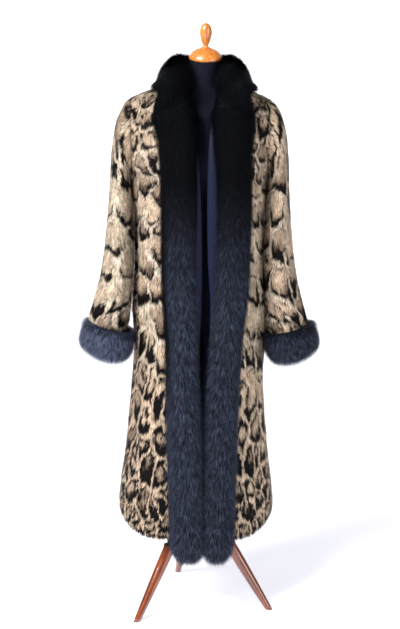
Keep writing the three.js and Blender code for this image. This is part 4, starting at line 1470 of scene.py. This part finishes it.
@dataclass(frozen=True)
class Cuff:
    """A puffed band of long-haired hide round the end of a sleeve."""

    side: Side
    seed: int
    mid: tuple[float, float, float]
    # painted light on the hair's tips
    tips: float
    tilt: float = 13.0
    turn: float = 13.0
    inside: tuple[float, float] = (53.0, 75.0)
    half_height: float = 36.0
    short: float = 0.7  # share of the lower half's height at the cuff's two ends
    hangs: float = 0.42  # and what is added to it at the front and back
    raised: float = 4.0
    radius_mm: float = 65.0
    swell: float = 14.0
    leather: float = 2.0
    around: int = 72
    rows: int = 17
    flat: tuple[float, float] = (0.46, 0.082)

    @property
    def node(self) -> str:
        """The CAD node that this cuff stands for."""
        return "cuff_" + self.side.word

    def place(self, vectors: np.ndarray, as_points: bool) -> np.ndarray:
        """Turns the cuff's own vectors into the coat's.

        Args:
            vectors: The vectors.
            as_points: Whether they are points, which are moved too.

        Returns:
            The vectors, turned and moved.
        """
        sign = self.side.value
        turned = Matrix.Rotation(math.radians(-sign * self.tilt), 3, "Y") @ Matrix.Rotation(
            math.radians(-sign * self.turn), 3, "Z")
        moved = np.array([sign * self.mid[0], self.mid[1], self.mid[2]]) if as_points else 0
        return vectors @ np.array(turned).T + moved

    def build(self, finish: bpy.types.Material) -> tuple[bpy.types.Object, bpy.types.Object]:
        """Makes the cuff and its pile.

        Args:
            finish: The pile's material.

        Returns:
            The cuff and its pile.
        """
        share = np.linspace(-1, 1, self.rows)[:, None]
        angle = round_ring(self.around)[None, :]
        # the cuff hangs lowest at the front and back, and is short at its two ends
        drop = np.where(share < 0, self.short + self.hangs * np.abs(np.sin(angle)), 1.0)
        height = share * self.half_height * drop + self.raised
        bulge = np.clip(1 - share**2, 0.01, 1) ** 0.6

        def ring(out: np.ndarray) -> np.ndarray:
            """The cuff's rings at a distance from its inside."""
            around = [(self.inside[0] + out) * np.cos(angle), (self.inside[1] + out) * np.sin(angle), height]
            return self.place(np.stack(around, axis=-1), True)

        outer, inner = ring(1.0 + self.leather + self.swell * bulge), ring(1.0 + (self.swell - 1) * bulge * 0.9)
        away = np.stack([np.cos(angle) + 0 * share, np.sin(angle) + 0 * share, 0 * share * angle], axis=-1)
        up = np.array([0.0, 0.0, 1.0])
        fall = smoothstep(-share, -0.95, -0.3)[..., None]
        flow = self.place(away * (0.7 - 0.5 * fall) - up * (0.15 + 0.85 * fall), False)
        pelt = np.stack([angle * self.radius_mm * MM + 0 * share, height * MM, 0 * height], axis=-1)
        # painted light on the tips, the same all round the cuff
        tone = np.full((*height.shape, 3), self.tips)
        pile = np.ones_like(height)
        shell = Hide("hide_" + self.node, outer, inner, True, pelt, flow, tone, pile, finish).build()
        return shell, PUFF.grow(shell, "pile_" + self.node, self.seed)


@dataclass(frozen=True)
class LiningCloth:
    """A panel of satin lining, loose inside its pelt."""

    side: Optional[Side]
    columns: int
    flat: tuple[float, float]
    area: float

    @property
    def node(self) -> str:
        """The CAD node that this lining stands for."""
        return "lining_back" if self.side is None else "lining_front_" + self.side.word

    def build(self, finish: bpy.types.Material) -> bpy.types.Object:
        """Makes the lining.

        Args:
            finish: Its material.

        Returns:
            The lining's object.
        """
        grid = BodyGrid(self.side, self.columns, lining_edge_x)
        outer, inner = grid.at(LINING_DEPTH)[0], grid.at(LINING_DEPTH + LINING_WALL)[0]
        return add_wall(self.node + "_satin", outer, inner, False, finish)


# ---- The dress form and its stand


FORM_LOW_Z, FORM_ARMS_Z = 795.0, 1385.0  # the torso's lower end, and where its table gives way to the shoulders
FORM_OVAL = 2.2
FORM = Profile(
    [FORM_LOW_Z, 830, 900, 980, 1070, 1150, 1230, 1300, 1350, FORM_ARMS_Z],
    half_width=[140, 149, 148, 138, 118, 128, 145, 158, 166, 172],
    front=[104, 110, 110, 102, 92, 104, 122, 108, 88, 66],
    back=[106, 114, 114, 98, 84, 92, 102, 100, 90, 74],
)
FORM_SHOULDER_Z = [1406.0, 1423.5, 1436.0, 1449.0]
FORM_SHOULDER_DEPTH = 0.86
FORM_TIP = 168.0
NECK_LOW_Z, NECK_TOP_Z = 1447.0, 1524.0
NECK = Profile([NECK_LOW_Z, 1470, 1500, NECK_TOP_Z], half_width=[53, 46, 43.5, 44.5], front=[46, 43, 42, 43],
               back=[49, 46, 44, 45], shift=[2, 5, 9, 12])
NECK_TILT = math.radians(17)
NECK_SHIFT = 12.0


@dataclass(frozen=True)
class DressForm:
    """The stuffed body of a limbless dress form, covered with jersey."""

    around: int = 64
    rows: int = 60
    neck_rows: int = 14
    rests: float = 0.5  # gap under the coat's lining
    sharp: float = 50.0

    def ring(self, z: float, half_width: float, front: float, back: float, shift: float, oval: float, tilt: float
             ) -> np.ndarray:
        """One ring of the form.

        Args:
            z: Its height.
            half_width: Half its width.
            front: How far it reaches to the front.
            back: How far it reaches to the back.
            shift: How far it is moved to the right.
            oval: Exponent of the section.
            tilt: Slope of the ring.

        Returns:
            Its points.
        """
        angle = round_ring(self.around)
        y = np.where(np.sin(angle) < 0, front, back) * signed_power(np.sin(angle), 2 / oval)
        x = half_width * signed_power(np.cos(angle), 2 / oval) + shift
        return np.stack([x, y, z + tilt * y], axis=-1)

    def build(self, finish: bpy.types.Material) -> bpy.types.Object:
        """Makes the torso.

        Args:
            finish: Its cover's material.

        Returns:
            The torso's object.
        """
        rings = []
        for z in np.linspace(FORM_LOW_Z, FORM_ARMS_Z, self.rows):
            rings.append(self.ring(z, **FORM.read(z), shift=0, oval=FORM_OVAL, tilt=0))
        under = LINING_DEPTH + LINING_WALL + self.rests
        for z in FORM_SHOULDER_Z:
            row = body_ring(np.array(z), np.array(under))
            width = min(float(row["half_width"]), FORM_TIP)
            reach = [float(row[name]) * FORM_SHOULDER_DEPTH for name in ("front", "back")]
            rings.append(self.ring(z - float(row["half_width_drop"]), width, *reach, 0, FORM_OVAL, 0))
        for z in np.linspace(NECK_LOW_Z, NECK_TOP_Z, self.neck_rows):
            tilt = math.tan(NECK_TILT) * float(smoothstep(z, NECK_LOW_Z, NECK_TOP_Z))
            rings.append(self.ring(z, **NECK.read(z), oval=2, tilt=tilt))
        points = np.concatenate(rings)
        ends = [rings[0].mean(axis=0), rings[-1].mean(axis=0)]
        faces = capped_tube_faces(len(rings), self.around)
        made = add_mesh("jersey_torso", np.vstack([points, ends]), faces, finish)
        made.data.set_sharp_from_angle(angle=math.radians(self.sharp))
        return made


@dataclass(frozen=True)
class Turning:
    """A piece turned on a lathe about its own axis, from pairs of radius and height that start and end on it."""

    name: str
    node: str
    profile: tuple[tuple[float, float], ...]
    smooth: bool
    around: int = 48
    sharp: float = 38.0

    def line(self) -> np.ndarray:
        """The profile with its curves filled in.

        Returns:
            Pairs of radius and height.
        """
        rows = np.array(self.profile, float)
        if not self.smooth:
            return rows
        knots = np.vstack([rows[:1], rows, rows[-1:]])
        line = [rows[0]]
        for k in range(1, len(rows)):
            p0, p1, p2, p3 = knots[k - 1 : k + 3]
            long = np.linalg.norm(p2 - p1)
            m1 = p2 - p1 if k == 1 else unit(p2 - p0) * long * 0.6
            m2 = p2 - p1 if k == len(rows) - 1 else unit(p3 - p1) * long * 0.6
            line += [hermite(p1, p2, m1, m2, s) for s in np.linspace(0, 1, 6)[1:]]
        made = np.array(line)
        made[:, 0] = np.maximum(made[:, 0], 0)
        return made

    def build(self, finish: bpy.types.Material, aim: Matrix) -> bpy.types.Object:
        """Turns the piece.

        Args:
            finish: Its material.
            aim: Where its own axis stands, in millimetres.

        Returns:
            The piece.
        """
        line = self.line()[1:-1]
        low, high = self.profile[0][1], self.profile[-1][1]
        angle = round_ring(self.around)
        points = [(r * math.cos(a), r * math.sin(a), h) for r, h in line for a in angle]
        points += [(0, 0, low), (0, 0, high)]
        own, turned = np.array(points), np.array(aim)
        placed = own @ turned[:3, :3].T + turned[:3, 3]
        made = add_mesh(self.name, placed, capped_tube_faces(len(line), self.around), finish)
        set_attribute(made, "grain", own * MM)
        made.data.set_sharp_from_angle(angle=math.radians(self.sharp))
        return made


CAP_PROFILE = ((0, 0), (43, 0), (45.5, 3), (44, 9), (37, 18), (26, 25), (15, 28.5), (12, 31), (0, 31))
FINIAL_PROFILE = ((0, 0), (9.5, 0), (7, 3), (7, 6), (11, 14), (15, 27), (16.5, 38), (15, 50), (10, 59), (4, 63),
                  (0, 64))
HUB_PROFILE = ((0, 0), (20, 0), (26, 8), (37, 16), (38, 54), (30, 62), (22, 66), (22, 76), (0, 76))
HUB_Z = 297.0
POLE_RADIUS = 15.0
LEG_AZIMUTHS = {"leg_right": -16.0, "leg_back": 104.0, "leg_left": 224.0}
FOOT_RADIUS = 219.0
LEG_MEET_Z = 335.0
LEG_PROFILE = ((0, -14), (9.5, -14), (9.5, 8), (12.5, 70), (15.5, 150), (16.5, 210), (18.5, 216), (18.5, 223),
               (12.5, 227), (12.5, 233), (16, 236), (16, 242), (12.5, 247), (12.5, 343), (0, 343))
LEG_BLACK = (214.0, 251.0)  # the black-painted stretch of a leg, in which one turned ring stays bare
LEG_RING = (236.0, 242.0)
CAP_GAP = 0.2


@dataclass(frozen=True)
class Stand:
    """Cap and finial on the neck's slope, and the pole, hub and three legs under the form."""

    def build(self, beech: bpy.types.Material, stained: bpy.types.Material, black: bpy.types.Material
              ) -> list[tuple[bpy.types.Object, str, str]]:
        """Makes the stand's pieces.

        Args:
            beech: The cap's and the finial's material.
            stained: The legs' material.
            black: The near-black of hub and pole, and the paint of the black stretch of each leg.

        Returns:
            Each piece with its CAD node and its slot.
        """
        slope = Matrix.Translation((NECK_SHIFT, 0, NECK_TOP_Z)) @ Matrix.Rotation(NECK_TILT, 4, "X")
        low, high = HUB_Z + HUB_PROFILE[-1][1] + SEAM, FORM_LOW_Z - SEAM
        shaft = ((0, low), (POLE_RADIUS - 1, low), (POLE_RADIUS, low + 1), (POLE_RADIUS, high - 1),
                 (POLE_RADIUS - 1, high), (0, high))
        made = [
            (turning.build(finish, aim), turning.node, slot)
            for turning, finish, slot, aim in (
                (Turning("beech_neck_cap", "neck_cap", CAP_PROFILE, True), beech, "turned_wood",
                 slope @ Matrix.Translation((0, 0, SEAM + CAP_GAP))),
                (Turning("beech_finial", "finial", FINIAL_PROFILE, True), beech, "turned_wood",
                 slope @ Matrix.Translation((0, 0, CAP_PROFILE[-1][1] + 2 * SEAM + CAP_GAP))),
                (Turning("turned_hub", "hub", HUB_PROFILE, True), black, "stand_wood",
                 Matrix.Translation((0, 0, HUB_Z))),
                (Turning("stand_pole", "pole", shaft, False), black, "stand_wood", Matrix.Identity(4)),
            )
        ]
        for name, azimuth in LEG_AZIMUTHS.items():
            turn = math.radians(azimuth)
            foot = Vector((FOOT_RADIUS * math.cos(turn), FOOT_RADIUS * math.sin(turn), 0))
            aim = (Vector((0, 0, LEG_MEET_Z)) - foot).normalized()
            tilt = Vector((0, 0, 1)).rotation_difference(aim).to_matrix().to_4x4()
            leg = Turning("turned_" + name, name, LEG_PROFILE, False).build(stained, Matrix.Translation(foot) @ tilt)
            self.finish_leg(leg, black)
            made.append((leg, name, "stand_wood"))
        return made

    def finish_leg(self, leg: bpy.types.Object, black: bpy.types.Material) -> None:
        """Cuts a leg off flat on the floor and paints its black stretch.

        Args:
            leg: The leg.
            black: The paint.
        """
        mesh = leg.data
        mesh.materials.append(black)
        shaping = bmesh.new()
        shaping.from_mesh(mesh)
        grain = shaping.verts.layers.float_vector["grain"]
        for face in shaping.faces:
            middle = sum(v[grain].z for v in face.verts) / len(face.verts) / MM
            if LEG_BLACK[0] < middle < LEG_BLACK[1] and not LEG_RING[0] < middle < LEG_RING[1]:
                face.material_index = 1
        everything = shaping.verts[:] + shaping.edges[:] + shaping.faces[:]
        cut = bmesh.ops.bisect_plane(shaping, geom=everything, plane_co=(0, 0, 0), plane_no=(0, 0, 1),
                                     clear_inner=True)
        rim = [item for item in cut["geom_cut"] if isinstance(item, bmesh.types.BMEdge)]
        bmesh.ops.contextual_create(shaping, geom=rim)
        bmesh.ops.recalc_face_normals(shaping, faces=shaping.faces[:])
        shaping.to_mesh(mesh)
        shaping.free()


# ---- The studio


@dataclass(frozen=True)
class Studio:
    """A white sweep, a soft key from the upper left, a fill from the right, and the camera at the photo's place."""

    sweep: float = 12.0
    backdrop_height: float = 6.0
    key_watts: float = 308.0
    fill_watts: float = 68.0
    ambient: float = 0.26
    camera_at: tuple[float, float, float] = (0.0055, -3.0, 1.28)
    lens: float = 62.56
    pitch: float = 81.5
    roll: float = 0.7

    def build(self) -> None:
        """Makes the sweep, the lights and the camera."""
        scene = bpy.context.scene
        scene.view_settings.view_transform = "Standard"
        paper = Paper().material()
        bpy.ops.mesh.primitive_plane_add(size=self.sweep)
        floor = bpy.context.object
        floor.name = "studio_floor"
        floor.data.materials.append(paper)
        wall_mesh = bpy.data.meshes.new("studio_backdrop")
        half, top = self.sweep / 2, self.backdrop_height
        wall_mesh.from_pydata([(-half, half, 0), (half, half, 0), (half, half, top), (-half, half, top)], [],
                              [(0, 1, 2, 3)])
        # the backdrop is lit from behind until it is plain white
        wall_mesh.materials.append(Paper("lit_studio_paper", glow="FFFFFF", lit=0.9, roughness=0.5).material())
        backdrop = add_object("studio_backdrop", wall_mesh)
        self.lamp("key", (-2.0, -2.3, 3.1), 1.9, self.key_watts)
        self.lamp("fill", (2.6, -2.4, 1.6), 2.2, self.fill_watts)
        world = bpy.data.worlds.new("studio_air")
        world.use_nodes = True
        wire(world.node_tree, world.node_tree.nodes["Background"],
             {"Color": linear("F4F6FF"), "Strength": self.ambient})
        scene.world = world
        camera = bpy.data.cameras.new("camera")
        camera.lens, camera.sensor_width, camera.sensor_fit = self.lens, 36.0, "AUTO"
        holder = add_object("camera", camera)
        x, y, z = self.camera_at
        holder.matrix_world = (
            Matrix.Translation((x, y + AXIS_Y, z)) @ Matrix.Rotation(math.radians(self.pitch), 4, "X")
            @ Matrix.Rotation(math.radians(self.roll), 4, "Z")
        )
        scene.camera = holder

    def lamp(self, name: str, place: tuple[float, float, float], size: float, watts: float) -> None:
        """Adds a square soft box that faces the coat's middle.

        Args:
            name: Its name.
            place: Where it hangs.
            size: Its edge, in metres.
            watts: Its strength.
        """
        light = bpy.data.lights.new(name, "AREA")
        light.size, light.energy = size, watts
        holder = add_object(name, light)
        holder.location = place
        aim = Vector((0, 0, 0.9)) - Vector(place)
        holder.rotation_euler = aim.to_track_quat("-Z", "Y").to_euler()


# ---- Everything together


def report(piece: bpy.types.Object) -> None:
    """Logs a piece's size and its number of triangles."""
    corners = [piece.matrix_world @ Vector(corner) for corner in piece.bound_box]
    span = [max(c[k] for c in corners) - min(c[k] for c in corners) for k in range(3)]
    count = sum(len(polygon.vertices) - 2 for polygon in piece.data.polygons)
    LOG.info("%s: %.3f x %.3f x %.3f m, %d triangles", piece.name, *span, count)


def settle(slot: str, cad_node: str, *pieces: bpy.types.Object) -> None:
    """Puts pieces on the model's one body in their CAD node's place, and reports them.

    Args:
        slot: Their material slot; not used.
        cad_node: The CAD node that they stand for.
        pieces: The pieces.
    """
    for piece in pieces:
        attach(piece, "root")
        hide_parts(cad_node)
        report(piece)


# Band of each half: painted tip light, tuck, painted outer shade. Cuff of each half: its middle, painted tip light.
BAND_LOOKS = {Side.LEFT: (0.85, BAND_TUCK_LEFT, 1.0), Side.RIGHT: (0.75, BAND_TUCK_RIGHT, 0.3)}
CUFF_LOOKS = {Side.LEFT: ((248.0, -46.0, 768.0), 2.5), Side.RIGHT: ((257.0, -46.0, 768.0), 0.8)}
BAND_SECTIONS, COLLAR_SECTIONS = 150, 44
BAND_START = 0.1  # first section of a band, in stations
HALF_JOIN = 0.004  # half the gap between band and collar, in stations


def main() -> None:
    """Builds the coat on its form."""
    spotted, long_pile = SpottedPile().material(), LongPile().material()
    satin, jersey = Satin().material(), Jersey().material()
    for pelt in (
        BodyPelt(None, 60, (0.62, 1.24), 0.60, (3.4, 11.2), 11),
        BodyPelt(Side.LEFT, 26, (0.26, 1.24), 0.22, (20.7, 4.6), 12, seam_mm=26.0),
        BodyPelt(Side.RIGHT, 26, (0.22, 1.24), 0.19, (41.3, 30.9), 13),
    ):
        hide, pile = pelt.build(spotted)
        settle("spotted_fur", pelt.node, hide, pile)
    for sleeve in (
        SleevePelt(Side.LEFT, (110, 88), 0.3, 0.5, (60.2, 8.1), 21),
        SleevePelt(Side.RIGHT, (62, 90), 0.45, 0.0, (75.9, 17.4), 22),
    ):
        hide, pile = sleeve.build(spotted)
        settle("spotted_fur", sleeve.node, hide, pile)
    paths = {side: TrimPath(side) for side in Side}
    join, back = paths[Side.LEFT].band_last, paths[Side.LEFT].last
    band_stops = np.linspace(BAND_START, join - HALF_JOIN, BAND_SECTIONS)
    collar_stops = np.linspace(join + HALF_JOIN, back, COLLAR_SECTIONS)
    for side, seed in ((Side.LEFT, 31), (Side.RIGHT, 32)):
        band = LongTrim("band_" + side.word, seed, (0.205, 1.20), *BAND_LOOKS[side])
        hide, pile = band.build([paths[side]], band_stops, long_pile)
        settle("long_fur", band.node, hide, pile)
        cuff = Cuff(side, seed + 8, *CUFF_LOOKS[side])
        hide, pile = cuff.build(long_pile)
        settle("long_fur", cuff.node, hide, pile)
    collar = LongTrim("collar", 33, (0.25, 0.56), 0.0, COLLAR_TUCK, underside=0.8)
    hide, pile = collar.build([paths[Side.LEFT], paths[Side.RIGHT]], collar_stops, long_pile)
    settle("long_fur", collar.node, hide, pile)
    for lining in (
        LiningCloth(None, 60, (0.60, 1.22), 0.57),
        LiningCloth(Side.LEFT, 24, (0.30, 1.22), 0.30),
        LiningCloth(Side.RIGHT, 24, (0.30, 1.22), 0.30),
    ):
        cloth = lining.build(satin)
        settle("lining", lining.node, cloth)
    torso = DressForm().build(jersey)
    settle("form_cover", "form_torso", torso)
    beech = TurnedWood("lacquered_beech", "CF8030", "924A14").material()
    stained = TurnedWood("stained_stand_beech", "94430D", "34110A", roughness=0.12, lacquer=0.9).material()
    black = TurnedWood("black_stand_paint", "17110E", "0A0706").material()
    for piece, cad_node, slot in Stand().build(beech, stained, black):
        settle(slot, cad_node, piece)
    Studio().build()


if __name__ == "__main__":
    logging.basicConfig(level=logging.INFO, format="%(message)s")
    main()
